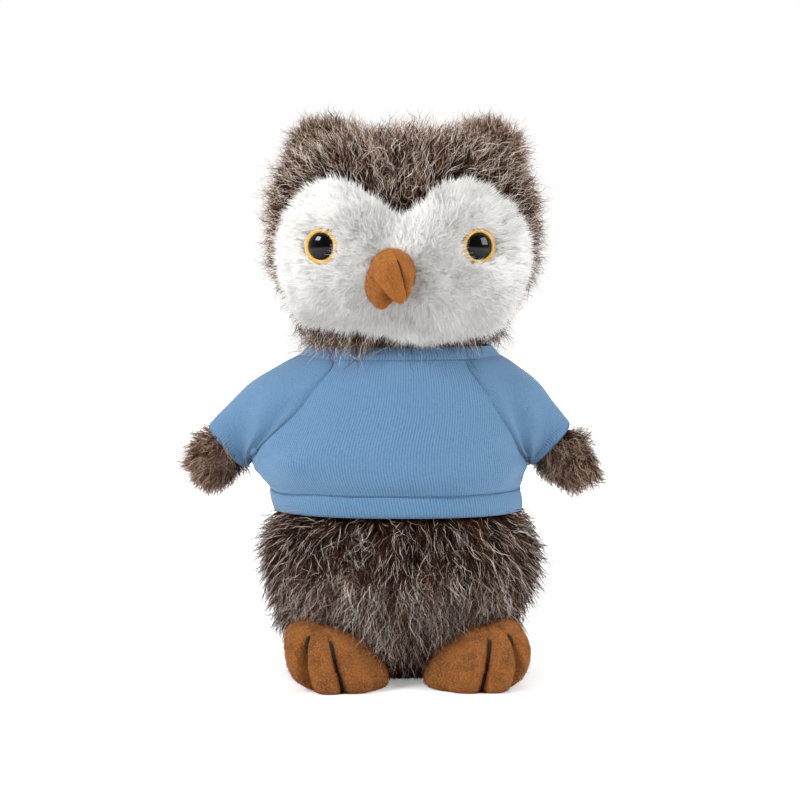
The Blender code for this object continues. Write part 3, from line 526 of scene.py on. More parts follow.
class Bench(Nodes):
    """A new material's node tree, with a method for each step that the finishes share."""

    def __init__(self, name: str) -> None:
        """Start a material with its Principled shader.

        Args:
            name: Name of the material.
        """
        self.material = bpy.data.materials.new(name)
        self.material.use_nodes = True
        super().__init__(self.material.node_tree)
        self.shader = self.tree.nodes["Principled BSDF"]

    def attribute(self, name: str) -> bpy.types.NodeSocket:
        """One named value of the mesh."""
        return self.node("ShaderNodeAttribute", attribute_name=name).outputs["Fac"]

    def cloth(self) -> tuple[bpy.types.NodeSocket, bpy.types.NodeSocket]:
        """The cloth's flat coordinates round and along it, in metres."""
        flat = self.node("ShaderNodeUVMap", uv_map="cloth").outputs["UV"]
        parts = self.node("ShaderNodeSeparateXYZ", {"Vector": flat})
        return parts.outputs["X"], parts.outputs["Y"]

    def noise(self, size: float, detail: float = 2.0, where: bpy.types.NodeSocket | None = None,
              roughness: float = 0.5) -> bpy.types.NodeSocket:
        """Cloudy noise whose patches are about as wide as the size.

        Args:
            size: Width of a patch in metres.
            detail: Number of finer layers.
            where: Coordinates, or None for Object coordinates.
            roughness: Weight of the finer layers.

        Returns:
            The noise's value, from 0 to 1.
        """
        return self.node("ShaderNodeTexNoise", {
            "Vector": where or self.place(), "Scale": 1.0 / size, "Detail": detail, "Roughness": roughness,
        }).outputs["Fac"]

    def ramp(self, value: bpy.types.NodeSocket, low: float, high: float, to_low: float = 0.0,
             to_high: float = 1.0) -> bpy.types.NodeSocket:
        """Map a value smoothly from one range to another.

        Args:
            value: The value.
            low: Start of its range.
            high: End of its range.
            to_low: What the start becomes.
            to_high: What the end becomes.

        Returns:
            The mapped value.
        """
        return self.node("ShaderNodeMapRange", {
            "Value": value, "From Min": low, "From Max": high, "To Min": to_low, "To Max": to_high,
        }, interpolation_type="SMOOTHSTEP").outputs["Result"]

    def blend(self, share: object, first: object, second: object,
              way: str = "MIX") -> bpy.types.NodeSocket:
        """Mix two colours.

        Args:
            share: How much of the second, a value or an output.
            first: A colour or an output.
            second: A colour or an output.
            way: Blender's name of the way to mix.

        Returns:
            The mixed colour.
        """
        mixed = self.node("ShaderNodeMix", data_type="RGBA", blend_type=way)
        self.feed(mixed.inputs[0], share)
        for socket, colour in ((mixed.inputs[6], first), (mixed.inputs[7], second)):
            self.feed(socket, (*colour, 1.0) if isinstance(colour, tuple) else colour)
        return mixed.outputs[2]

    def bump(self, height: bpy.types.NodeSocket, distance: float, strength: float = 1.0) -> None:
        """Give the shader a bump.

        Args:
            height: Height as a share of the distance.
            distance: The bump's depth in metres.
            strength: Share of the bump that is used.
        """
        made = self.node("ShaderNodeBump", {"Height": height, "Distance": distance, "Strength": strength})
        self.feed(self.shader.inputs["Normal"], made.outputs["Normal"])

    def finish(self, colour: object, roughness: object, **constants: object) -> bpy.types.Material:
        """Feed the shader and give the material back.

        Args:
            colour: Base colour, a value or an output.
            roughness: Roughness, a value or an output.
            **constants: Other shader sockets, their names with underscores for spaces.

        Returns:
            The material.
        """
        self.feed(self.shader.inputs["Base Color"], (*colour, 1.0) if isinstance(colour, tuple) else colour)
        self.feed(self.shader.inputs["Roughness"], roughness)
        for key, value in constants.items():
            self.feed(self.shader.inputs[key.replace("_", " ")], value)
        return self.material


def srgb(red: int, green: int, blue: int) -> Colour:
    """A colour written as it looks on a screen, 0 to 255, as linear light."""
    shares = np.array([red, green, blue]) / 255.0
    linear = np.where(shares <= 0.04045, shares / 12.92, ((shares + 0.055) / 1.055) ** 2.4)
    return tuple(float(value) for value in linear)


@dataclass(frozen=True)
class FurFinish:
    """Long pile: dark at the root, brown along it, and pale at the tips of the frosted strands."""

    name: str
    root: Colour
    strand: Colour
    strand_pale: Colour
    frost: Colour
    frost_deep: Colour
    roughness: float = 0.6
    pale_from: float = 0.2
    shine: float = 0.12

    def material(self) -> bpy.types.Material:
        """A strand's colour by its share along it, its own tone and whether it is frosted.

        Returns:
            The material.
        """
        bench = Bench(self.name)
        along, tone, frosted = (bench.attribute(key) for key in ("along", "tone", "frost"))
        brown = bench.blend(tone, self.strand, self.strand_pale)
        patch = bench.ramp(bench.noise(9.0 * MM), 0.35, 0.7, 0.75, 1.15)
        brown = bench.blend(1.0, brown, bench.node("ShaderNodeCombineColor", {
            "Red": patch, "Green": patch, "Blue": patch}).outputs[0], "MULTIPLY")
        pale_part = bench.sum("MULTIPLY", bench.ramp(along, self.pale_from, self.pale_from + 0.35), frosted)
        pale = bench.blend(tone, self.frost, self.frost_deep)
        tip = bench.blend(pale_part, brown, pale)
        colour = bench.blend(bench.ramp(along, 0.0, 0.45), self.root, tip)
        return bench.finish(colour, self.roughness, Specular_IOR_Level=self.shine)


@dataclass(frozen=True)
class BackingFinish:
    """The knitted backing and short undercoat that show between the strands."""

    name: str
    deep: Colour
    high: Colour

    def material(self) -> bpy.types.Material:
        """Mottled and rough, with a bump as fine as the undercoat's curls.

        Returns:
            The material.
        """
        bench = Bench(self.name)
        cloud = bench.noise(1.2 * MM, 4.0, roughness=0.7)
        colour = bench.blend(bench.ramp(cloud, 0.3, 0.7), self.deep, self.high)
        bench.bump(cloud, 0.6 * MM)
        return bench.finish(colour, 0.95, Specular_IOR_Level=0.1)


@dataclass(frozen=True)
class FeltFinish:
    """Brushed felt: soft mottling, a fuzz that shows at the edge, and no gloss."""

    name: str
    deep: Colour
    middle: Colour
    high: Colour

    def material(self) -> bpy.types.Material:
        """Two sizes of mottling, a fine fibre bump and a sheen.

        Returns:
            The material.
        """
        bench = Bench(self.name)
        broad = bench.noise(5.0 * MM, 3.0)
        fibre = bench.noise(0.45 * MM, 4.0, roughness=0.75)
        colour = bench.blend(bench.ramp(broad, 0.3, 0.7), self.deep, self.middle)
        colour = bench.blend(bench.ramp(fibre, 0.42, 0.72, 0.0, 0.75), colour, self.high)
        bench.bump(fibre, 0.35 * MM, 0.9)
        return bench.finish(colour, 0.93, Specular_IOR_Level=0.15, Sheen_Weight=0.35, Sheen_Roughness=0.5,
                            Sheen_Tint=(*self.high, 1.0))


@dataclass(frozen=True)
class JerseyFinish:
    """Single jersey: fine upright wales, each a column of small V stitches."""

    name: str
    deep: Colour
    high: Colour
    wale: float = 0.8 * MM
    course: float = 0.62 * MM

    def material(self) -> bpy.types.Material:
        """Wales and courses by the cloth's own flat coordinates, in metres.

        Across a wale the height is the sine of its place between two grooves, and along it the stitches tip
        up towards the wale's middle, so the courses run in shallow Vs. The colour follows that height over a
        random fuzz: painted shade darkens the grooves between wales and stitches, and the raised stitches are
        painted lighter.

        Returns:
            The material.
        """
        bench = Bench(self.name)
        across, along = bench.cloth()
        wander = bench.sum("MULTIPLY", bench.sum("SUBTRACT", bench.noise(6.0 * MM, 1.0), 0.5), 0.5 * MM)
        column = bench.sum("DIVIDE", bench.sum("ADD", across, wander), self.wale)
        rounded = bench.sum("ABSOLUTE", bench.sum("SINE", bench.sum("MULTIPLY", column, math.pi)))
        tip = bench.sum("MULTIPLY", rounded, 0.7)
        row = bench.sum("SUBTRACT", bench.sum("DIVIDE", along, self.course), tip)
        stitch = bench.sum("MULTIPLY_ADD", bench.sum("SINE", bench.sum("MULTIPLY", row, FULL_TURN)), 0.5, 0.5)
        height = bench.sum("MULTIPLY_ADD", stitch, 0.35, bench.sum("MULTIPLY", rounded, 0.65))
        fuzz = bench.noise(0.5 * MM, 4.0, roughness=0.75)
        # Painted shade: the colour is darker where the stitch height is low, in the grooves, mixed with
        # random fuzz.
        shade = bench.sum("MULTIPLY_ADD", fuzz, 0.8, bench.sum("MULTIPLY", height, 0.5))
        colour = bench.blend(bench.ramp(shade, 0.2, 0.95), self.deep, self.high)
        patch = bench.ramp(bench.noise(14.0 * MM, 2.0), 0.3, 0.7, 0.0, 0.18)
        colour = bench.blend(patch, colour, self.high)
        bench.bump(bench.sum("MULTIPLY_ADD", fuzz, 0.6, height), 0.15 * MM, 0.8)
        return bench.finish(colour, 0.88, Specular_IOR_Level=0.2, Sheen_Weight=0.15, Sheen_Roughness=0.6)


@dataclass(frozen=True)
class PlasticFinish:
    """Moulded plastic: even colour with a faint swirl, and gloss."""

    name: str
    deep: Colour
    high: Colour
    roughness: float
    coat: float = 0.0
    shine: float = 0.5

    def material(self) -> bpy.types.Material:
        """A faint swirl in the colour and a hair's breadth of unevenness in the gloss.

        Returns:
            The material.
        """
        bench = Bench(self.name)
        swirl = bench.noise(2.4 * MM, 2.0)
        colour = bench.blend(bench.ramp(swirl, 0.3, 0.7), self.deep, self.high)
        rough = bench.ramp(bench.noise(0.8 * MM, 3.0), 0.3, 0.7, self.roughness, self.roughness + 0.05)
        return bench.finish(colour, rough, Specular_IOR_Level=self.shine, Coat_Weight=self.coat,
                            Coat_Roughness=0.04)


@dataclass(frozen=True)
class ThreadFinish:
    """Sewing thread: dark, with the slant of its twist."""

    name: str
    deep: Colour
    high: Colour
    twist: float = 0.5 * MM

    def material(self) -> bpy.types.Material:
        """Slanted bands by the thread's own flat coordinates, in metres, painted darker as shade in the
        grooves between the twist's turns and lighter on their crests.

        Returns:
            The material.
        """
        bench = Bench(self.name)
        twist = bench.sum("DIVIDE", bench.sum("ADD", *bench.cloth()), self.twist)
        band = bench.sum("ABSOLUTE", bench.sum("SINE", bench.sum("MULTIPLY", twist, math.pi)))
        bench.bump(band, 0.1 * MM)
        # Painted shade and highlight: the colour goes from deep in the twist's grooves to high on its crests.
        return bench.finish(bench.blend(band, self.deep, self.high), 0.75, Specular_IOR_Level=0.25)


BROWN_FUR = FurFinish("brown_fur", srgb(14, 5, 2), srgb(36, 17, 8), srgb(80, 49, 31),
                      srgb(250, 240, 232), srgb(176, 146, 126))
HEAD_FUR = FurFinish("head_fur", srgb(24, 12, 6), srgb(62, 39, 26), srgb(120, 90, 70),
                     srgb(250, 240, 230), srgb(196, 166, 144))
EAR_FUR = FurFinish("ear_fur", srgb(30, 16, 9), srgb(70, 44, 30), srgb(120, 88, 67),
                    srgb(232, 210, 190), srgb(176, 140, 114))
WING_FUR = FurFinish("wing_fur", srgb(34, 19, 11), srgb(76, 50, 35), srgb(122, 90, 70),
                     srgb(222, 200, 182), srgb(160, 126, 104))
UNDERCOAT = FurFinish("undercoat", srgb(12, 5, 2), srgb(28, 13, 7), srgb(60, 35, 22),
                      srgb(104, 72, 54), srgb(74, 48, 33), 0.9)
WHITE_PLUSH = FurFinish("white_plush", srgb(244, 242, 237), srgb(250, 248, 244), srgb(253, 252, 249),
                        srgb(254, 253, 251), srgb(250, 248, 244), 0.9)
BROWN_BACKING = BackingFinish("brown_backing", srgb(20, 13, 10), srgb(46, 34, 27))
WHITE_BACKING = BackingFinish("white_backing", srgb(238, 236, 230), srgb(250, 248, 244))
BROWN_FELT = FeltFinish("orange_felt", srgb(104, 60, 26), srgb(138, 84, 40), srgb(186, 126, 74))
BEAK_FELT = FeltFinish("beak_felt", srgb(130, 76, 32), srgb(156, 96, 44), srgb(184, 124, 68))
# The beak felt made darker for the lower lobe: painted shade for its shadowed underside.
SHADED_BEAK_FELT = FeltFinish("lower_beak_felt", srgb(120, 70, 30), srgb(148, 90, 42), srgb(174, 116, 62))
PELLET_CLOTH = BackingFinish("pellet_cloth", srgb(186, 178, 160), srgb(214, 208, 192))
FILLING = BackingFinish("polyester_filling", srgb(214, 212, 206), srgb(240, 239, 235))
JERSEY = JerseyFinish("blue_jersey", srgb(58, 90, 122), srgb(98, 137, 173))
AMBER = PlasticFinish("amber_plastic", srgb(208, 156, 52), srgb(228, 178, 72), 0.22, 0.2)
BLACK = PlasticFinish("black_plastic", srgb(4, 4, 5), srgb(7, 6, 7), 0.04, 0.0, 0.25)
BLACK_THREAD = ThreadFinish("black_thread", srgb(14, 11, 10), srgb(40, 32, 28))
SEAM_THREAD = ThreadFinish("seam_thread", srgb(64, 26, 14), srgb(96, 46, 24))
BLUE_THREAD = ThreadFinish("blue_thread", srgb(70, 104, 138), srgb(96, 134, 170))
FELT_FUZZ = FurFinish("felt_fuzz", srgb(110, 64, 28), srgb(138, 84, 40), srgb(170, 110, 60),
                      srgb(208, 152, 100), srgb(170, 110, 60), 0.9)
BEAK_FUZZ = FurFinish("beak_fuzz", srgb(134, 78, 34), srgb(156, 96, 44), srgb(180, 120, 64),
                      srgb(206, 152, 98), srgb(180, 120, 64), 0.9)


@dataclass
class Floor:
    """The round white surface that the owl stands on."""

    ring_radii: tuple[float, ...] = (0.0, 0.1, 0.3, 0.8, 2.4)
    columns: int = 48
    near: float = 0.12
    far: float = 0.5
    glow: float = 0.3
    far_glow: float = 0.7
    white: float = 0.86

    def make(self) -> None:
        """Build the disc from rings round its middle."""
        reach = np.array(self.ring_radii)[:, None]
        angle = round_angles(self.columns)[None, :]
        grid = np.stack([reach * np.cos(angle), reach * np.sin(angle), 0.0 * reach * angle], axis=-1)
        made = Skin(grid).piece("floor")
        made.data.materials.append(self.material())
        log.info("floor made")

    def material(self) -> bpy.types.Material:
        """A matt white, seen brighter than the lamps make it, and as pure white far from the owl.

        Returns:
            The material.
        """
        bench = Bench("floor_white")
        rays = bench.node("ShaderNodeLightPath")
        seen = bench.sum("MAXIMUM", rays.outputs["Is Camera Ray"], rays.outputs["Is Glossy Ray"])
        seen = bench.sum("MAXIMUM", seen, rays.outputs["Is Transmission Ray"])
        bench.feed(bench.shader.inputs["Emission Color"], WHITE)
        away = bench.node("ShaderNodeVectorMath", {0: bench.place()}, operation="LENGTH").outputs["Value"]
        beyond = bench.sum("MULTIPLY", seen, bench.ramp(away, self.near, self.far, 0.0, self.far_glow))
        bench.feed(bench.shader.inputs["Emission Strength"],
                   bench.sum("MULTIPLY_ADD", rays.outputs["Is Camera Ray"], self.glow, beyond))
        return bench.finish((self.white,) * 3, 0.9)


@dataclass(frozen=True)
class Lamp:
    """One square soft lamp that points at the middle of the owl: its edge in metres, its power in watts."""

    name: str
    place: tuple[float, float, float]
    size: float
    power: float
    aim_height: float = 0.08

    def hang(self) -> None:
        """Put the lamp in the scene."""
        data = bpy.data.lights.new(self.name, "AREA")
        data.size = self.size
        data.energy = self.power
        lamp = bpy.data.objects.new(self.name, data)
        lamp.location = self.place
        aim = np.array([0.0, 0.0, self.aim_height]) - np.array(self.place)
        flat = math.hypot(aim[0], aim[1])
        lamp.rotation_euler = (math.atan2(flat, -aim[2]), 0.0, math.atan2(aim[1], aim[0]) - 0.5 * math.pi)
        bpy.context.scene.collection.objects.link(lamp)


@dataclass
class Studio:
    """The camera at the photograph's angle, and soft lamps round the owl."""

    distance: float = 0.700
    height: float = 0.113
    down_deg: float = 3.1
    lens: float = 113.4
    sensor: float = 36.0
    front_light: float = 0.12
    round_light: float = 0.62
    front_end: float = -0.8
    round_start: float = 0.1
    lamps: tuple[Lamp, ...] = (
        Lamp("key", (-0.80, -0.52, 0.68), 0.38, 11.5), Lamp("fill", (0.90, -0.42, 0.45), 0.5, 7.5),
        Lamp("top", (0.0, 0.15, 1.0), 0.7, 5.0), Lamp("back", (0.1, 0.9, 0.6), 0.6, 3.0),
    )

    def make(self) -> None:
        """Set the camera, the lamps and the white world."""
        camera = bpy.data.cameras.new("camera")
        camera.lens = self.lens
        camera.sensor_width = self.sensor
        camera.sensor_fit = "HORIZONTAL"
        placed = bpy.data.objects.new("camera", camera)
        placed.location = (0.0, -self.distance, self.height)
        placed.rotation_euler = (math.radians(90.0 - self.down_deg), 0.0, 0.0)
        bpy.context.scene.collection.objects.link(placed)
        bpy.context.scene.camera = placed
        for lamp in self.lamps:
            lamp.hang()
        self.surround()
        bpy.context.scene.view_settings.view_transform = "Standard"
        log.info("studio made")

    def surround(self) -> None:
        """Light from all round, least from the camera's side, and a white backdrop."""
        world = bpy.data.worlds.new("world")
        world.use_nodes = True
        bpy.context.scene.world = world
        nodes = Nodes(world.node_tree)
        parts = nodes.node("ShaderNodeSeparateXYZ", {0: nodes.place("Generated")})
        level = nodes.node("ShaderNodeMapRange", {
            "Value": parts.outputs["Y"], "From Min": self.front_end, "From Max": self.round_start,
            "To Min": self.front_light, "To Max": self.round_light,
        }).outputs[0]
        light = nodes.tree.nodes["Background"]
        nodes.feed(light.inputs["Color"], WHITE)
        nodes.feed(light.inputs["Strength"], level)
        backdrop = nodes.node("ShaderNodeBackground", {"Color": WHITE})
        rays = nodes.node("ShaderNodeLightPath")
        behind = nodes.sum("GREATER_THAN", parts.outputs["Y"], 0.0)
        glossy = nodes.sum("MAXIMUM", rays.outputs["Is Glossy Ray"], rays.outputs["Is Transmission Ray"])
        seen = nodes.sum("MAXIMUM", rays.outputs["Is Camera Ray"], nodes.sum("MULTIPLY", glossy, behind))
        mixed = nodes.node("ShaderNodeMixShader", {0: seen, 1: light.outputs[0], 2: backdrop.outputs[0]})
        nodes.feed(nodes.tree.nodes["World Output"].inputs["Surface"], mixed.outputs[0])


def wear(piece: bpy.types.Object, finish: object, body: str,
         replaced: tuple[str, ...] = ()) -> bpy.types.Object:
    """Dress a piece, put it on its body and hide the CAD nodes that it stands for.

    Args:
        piece: The finished piece.
        finish: A finish with a material method, or a material.
        body: The CAD body that carries the piece.
        replaced: CAD nodes that the piece stands for.

    Returns:
        The piece.
    """
    piece.data.materials.append(finish if isinstance(finish, bpy.types.Material) else finish.material())
    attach(piece, body)
    return note(piece, replaced)


def note(piece: bpy.types.Object, replaced: tuple[str, ...] = ()) -> bpy.types.Object:
    """Hide the CAD nodes that a piece replaces, and report it.

    Args:
        piece: The finished piece.
        replaced: CAD nodes that the piece stands for.

    Returns:
        The piece.
    """
    if replaced:
        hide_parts(*replaced)
    log.info("%s: %d faces", piece.name, len(piece.data.polygons))
    return piece


def outline_distance(points: Array, outline: Array) -> Array:
    """Distance of flat points from a closed outline, negative inside it.

    The distance is the least one to any straight step of the outline, and a point is inside when a line
    from it to one side crosses the outline an odd number of times.

    Args:
        points: Flat points, one per row.
        outline: Corners of the outline in order.

    Returns:
        One distance per point.
    """
    start, step = outline, np.roll(outline, -1, axis=0) - outline
    offset = points[:, None] - start[None]
    share = np.clip(np.sum(offset * step, axis=2) / np.sum(step * step, axis=1), 0.0, 1.0)
    gap = np.linalg.norm(offset - share[..., None] * step, axis=2).min(axis=1)
    end = start + step
    x, y = points[:, :1], points[:, 1:]
    spans = (start[:, 1] > y) != (end[:, 1] > y)
    rise = np.where(step[:, 1] == 0.0, 1.0, step[:, 1])
    crossing = start[:, 0] + (y - start[:, 1]) / rise * step[:, 0]
    inside = np.sum(spans & (x < crossing), axis=1) % 2 == 1
    return np.where(inside, -gap, gap)


def hump(points: Array, middle: tuple[float, float], wide: float, high: float) -> Array:
    """A soft hill on flat points: exp of minus the squared distance in half widths.

    Args:
        points: Flat points, in the last axis.
        middle: Its top.
        wide: Half width along the first axis.
        high: Half width along the second axis.

    Returns:
        One value per point, 1 at the middle.
    """
    offset = (points - np.array(middle)) / np.array([wide, high])
    return np.exp(-np.sum(offset**2, axis=-1))


@dataclass
class RoundForm:
    """A stuffed form of rounded rings.

    A ring is a superellipse in its polar form: at angle a its radius is
    (|cos a / half width|^n + |sin a / half depth|^n)^(-1/n), n being the squareness. A row of the table
    holds a ring's height, half width and half depth in metres.
    """

    squareness: float
    rows: Array

    def level(self, z: float) -> float:
        """The row number of the table at a height."""
        return float(np.interp(z, self.rows[:, 0], np.arange(len(self.rows))))

    def reach(self, angle: Array, across: Array, deep: Array) -> Array:
        """Radius of rings at angles, from their half widths and half depths."""
        power = self.squareness
        return (np.abs(np.cos(angle) / across)**power + np.abs(np.sin(angle) / deep)**power)**(-1.0 / power)

    def skin(self, first: float, last: float, rings: int, columns: int) -> Skin:
        """The surface between two row numbers of the table.

        Args:
            first: Row number of the lowest ring.
            last: Row number of the highest ring.
            rings: Number of rings.
            columns: Points round each ring.

        Returns:
            The surface.
        """
        sizes = smooth_rows(self.rows, np.linspace(first, last, rings))
        angle = round_angles(columns)
        across, deep = np.maximum(sizes[:, 1:2], LEAST_RADIUS), np.maximum(sizes[:, 2:3], LEAST_RADIUS)
        radius = self.reach(angle, across, deep)
        height = np.repeat(sizes[:, :1], columns, axis=1)
        return Skin(np.stack([radius * np.cos(angle), radius * np.sin(angle), height], axis=-1))


@dataclass
class Head:
    """Brown head with its white two-lobed face and two ear tufts."""

    skin_thickness: float = 0.9 * MM
    face_proud: float = 3.4 * MM
    face_inset: float = 2.2 * MM
    aside: float = 0.9 * MM
    cheek_end: float = -13.5 * MM
    squareness: float = 2.5
    rows_mm: tuple[tuple[float, float, float], ...] = (
        (94.6, 0.0, 0.0), (94.8, 14.0, 11.0), (95.5, 21.0, 17.2), (97.2, 26.0, 21.8), (100.6, 29.2, 25.0),
        (105.5, 32.0, 26.6), (112.0, 34.0, 27.0), (121.0, 34.6, 26.9), (129.0, 34.3, 26.2),
        (135.0, 32.8, 24.6), (139.6, 30.2, 21.8), (143.2, 26.4, 17.4), (145.2, 20.6, 12.0),
        (146.1, 12.0, 5.6), (146.3, 0.0, 0.0),
    )
    neck_rows_mm: tuple[tuple[float, float, float], ...] = (
        (86.0, 18.8, 18.8), (90.5, 19.1, 18.9), (93.0, 19.5, 19.0), (95.5, 20.2, 19.2), (97.5, 21.0, 19.4),
    )
    face_outline_mm: tuple[tuple[float, float], ...] = (
        (5.0, 93.4), (14.0, 94.4), (23.0, 96.0), (29.0, 99.2), (32.6, 105.0), (34.2, 113.0), (33.0, 121.5),
        (29.0, 128.5), (22.5, 133.6), (15.4, 135.4), (8.5, 132.8), (3.5, 128.2), (0.5, 126.4),
        (-3.5, 128.4), (-9.5, 133.0), (-16.6, 135.6), (-23.5, 133.2), (-28.5, 128.0), (-31.8, 120.5),
        (-33.0, 112.0), (-32.2, 104.5), (-29.0, 99.2), (-21.0, 97.0), (-9.0, 96.6), (-2.0, 94.8),
    )
    swellings_mm: tuple[tuple[float, float, float, float, float], ...] = (
        (16.0, 124.0, 11.0, 9.0, 1.6), (-16.0, 124.0, 11.0, 9.0, 1.6), (0.0, 103.0, 15.0, 8.0, 2.6),
        (22.0, 107.0, 11.0, 9.0, 1.4), (-22.0, 107.0, 11.0, 9.0, 1.4), (0.0, 128.0, 4.0, 8.0, -2.0),
        (20.0, 117.6, 6.0, 6.0, -1.2), (-20.0, 117.6, 6.0, 6.0, -1.2),
    )
    hair_line: float = 96.0 * MM
    ruff_line: float = 94.7 * MM
    ruff_top: float = 99.5 * MM
    ruff_ends: tuple[float, float] = (-22.0 * MM, 17.0 * MM)
    eye_clearance: float = 5.4 * MM
    ear_shift_left: float = -3.6 * MM
    ear_shift_right: float = 6.6 * MM
    ear_depth: float = 15.2 * MM
    ear_size_mm: tuple[float, float, float] = (11.6, 8.2, 6.2)
    ear_rows: tuple[tuple[float, float, float], ...] = (
        (0.0, 0.9, 0.9), (0.3, 1.0, 1.0), (0.6, 0.95, 0.94), (0.85, 0.72, 0.7), (0.97, 0.36, 0.35),
        (1.0, 0.0, 0.0),
    )
    face_middle: tuple[float, float, float] = (0.0, -30.0 * MM, 113.0 * MM)
    fur: Pile = Pile(7.8 * MM, 0.20 * MM, root_lean=0.45, tip_lean=1.0, rise=0.6, lock=0.75,
                     lock_size=6.0 * MM, loose=0.38, curl=0.13, joints=5, frosted=0.55, fine=0.64,
                     clump=0.5, clump_size=2.6 * MM)
    undercoat: Pile = Pile(5.0 * MM, 0.30 * MM, root_lean=0.5, tip_lean=1.0, rise=0.7, lock=0.8,
                           lock_size=3.0 * MM, loose=0.55, curl=0.2, joints=3, frosted=0.2)
    ruff: Pile = Pile(11.5 * MM, 0.22 * MM, root_lean=1.1, tip_lean=1.5, rise=0.35, lock=0.6,
                      lock_size=4.0 * MM, loose=0.4, curl=0.12, joints=5, frosted=0.4, fine=0.62)
    plush: Pile = Pile(3.3 * MM, 0.30 * MM, root_lean=0.3, tip_lean=0.6, rise=1.0, lock=0.22,
                       lock_size=3.0 * MM, loose=0.42, curl=0.0, joints=1, frosted=0.5, fine=0.8,
                       soften=0.88, clump=0.3, clump_size=1.7 * MM, sides=3)
    ear_pile: Pile = Pile(5.2 * MM, 0.22 * MM, root_lean=0.2, tip_lean=0.5, rise=0.9, lock=0.5,
                          lock_size=3.0 * MM, loose=0.4, curl=0.15, joints=4, frosted=0.45)

    def form(self) -> RoundForm:
        """The backing that carries the head's pile."""
        return RoundForm(self.squareness, np.array(self.rows_mm) * MM)

    def smooth_outline(self) -> Array:
        """The face's outline as a smooth closed curve in the XZ plane."""
        corners = np.array(self.face_outline_mm) * MM
        looped = np.concatenate([corners[-2:], corners, corners[:3]])
        return smooth_rows(looped, np.linspace(2.0, len(corners) + 2.0, 121)[:-1])

    def face_height(self, flat: Array) -> Array:
        """How far the stuffed face swells at places in the XZ plane.

        The table holds the middle, half width, half height and rise of two brows, a muzzle, two cheeks,
        the hollow above the beak and the two round the eyes.
        """
        return sum(MM * rise * hump(flat / MM, (x, z), wide, high)
                   for x, z, wide, high, rise in self.swellings_mm)

    def combing(self, roots: Array) -> Array:
        """Comb away from the face at the front, and down at the back."""
        outwards = unit(roots - np.array(self.face_middle))
        down = np.array([0.0, 0.15, -1.0])
        behind = np.clip(0.5 + roots[:, 1:2] / (36.0 * MM), 0.0, 1.0)
        low = np.clip((112.0 * MM - roots[:, 2:]) / (24.0 * MM), 0.0, 1.0)
        return unit(outwards * (1.0 - 0.8 * behind) + down * (0.8 * behind + 0.5 * low))

    def pile_share(self, roots: Array) -> Array:
        """Share of the pile's full length: full over the crown, shorter on the sides and towards the neck."""
        side = np.clip((np.abs(roots[:, 0]) - 18.0 * MM) / (12.0 * MM), 0.0, 1.0)
        on_side = np.interp(roots[:, 2], np.array([96.0, 104.0, 114.0, 132.0, 142.0]) * MM,
                            [0.3, 0.42, 0.72, 0.8, 0.8])
        return 1.0 + (on_side - 1.0) * side

    def on_face(self, points: Array) -> Array:
        """How far points lie outside the face's edge, negative inside it.

        The edge is the outline as seen from the front, and on the cheeks the face ends at one depth.
        """
        outside = outline_distance(points[:, [0, 2]], self.smooth_outline())
        outside = np.maximum(outside, points[:, 1] - self.cheek_end)
        return np.where(points[:, 1] < 0.3 * self.cheek_end, outside, 40.0 * MM)

    def make(self) -> None:
        """Build the backing, the filling, the brown pile, the face, the ears and the neck."""
        backing = self.form().skin(0.0, len(self.rows_mm) - 1.0, 120, 180)
        backing.points[..., 0] += self.aside
        wear(backing.piece("head_backing"), BROWN_BACKING, "head",
             ("head_fur_left", "head_fur_right"))
        filling = backing.grown(-self.skin_thickness)
        wear(filling.piece("head_filling"), FILLING, "head", ("head_stuffing",))
        self.grow_brown(backing)
        self.make_face(backing)
        for side in Side:
            self.make_ear(side)
        self.make_neck()

    def make_neck(self) -> None:
        """The short neck of brown backing that joins the body's top to the head's underside."""
        rows = np.array(self.neck_rows_mm) * MM
        sizes = smooth_rows(rows, np.linspace(0.0, len(rows) - 1.0, 30))
        angle = round_angles(120)[None, :]
        grid = np.stack([sizes[:, 1:2] * np.cos(angle), sizes[:, 2:3] * np.sin(angle),
                         sizes[:, :1] + 0.0 * angle], axis=-1)
        skin = Skin(grid)
        made = skin.piece("neck_skin")
        made.data.materials.append(BROWN_BACKING.material())
        note(made)
        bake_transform(made)

    def grow_brown(self, backing: Skin) -> None:
        """Grow undercoat and long fur all over the head but the face, and the ruff round its lower edge.

        Args:
            backing: The surface that carries the roots.
        """
        materials = {"fur": HEAD_FUR.material(), "undercoat": UNDERCOAT.material()}
        materials["ruff"] = materials["fur"]
        heights = backing.points[..., 2]
        edge = ((heights > self.ruff_line) & (heights < self.ruff_top)) * 1.0
        for label, pile, count, seed, weight in (
                ("fur", self.fur, 32000, 1, None), ("undercoat", self.undercoat, 22000, 2, None),
                ("ruff", self.ruff, 9000, 3, edge)):
            roots, normals = backing.scatter(count, np.random.default_rng(SEED + seed), weight)
            off_face = self.on_face(roots) > -0.8 * MM
            if label == "ruff":
                kept = (roots[:, 2] > self.ruff_line) & (off_face | (roots[:, 2] < self.hair_line))
                left, right = self.ruff_ends
                kept &= (roots[:, 1] > 0.0) | ((roots[:, 0] > left) & (roots[:, 0] < right))
            else:
                kept = off_face & (roots[:, 2] > self.hair_line)
            roots, normals = roots[kept], normals[kept]
            comb = self.combing(roots)
            if label == "ruff":
                outwards = unit(roots * np.array([1.0, 1.0, 0.0]))
                ahead = np.clip(-outwards[:, 1:2], 0.0, 1.0)
                comb = (0.3 + 0.75 * ahead) * outwards + np.array([0.0, 0.0, -1.0])
                normals = unit(outwards + np.array([0.0, 0.0, -0.25]))
            for part, chosen in (("front", roots[:, 1] < 0.0), ("back", roots[:, 1] >= 0.0)):
                grown = pile.grow(f"head_{label}_{part}", roots[chosen], normals[chosen], comb[chosen],
                                  SEED + 10 * seed, self.pile_share(roots[chosen]))
                wear(grown, materials[label], "head")

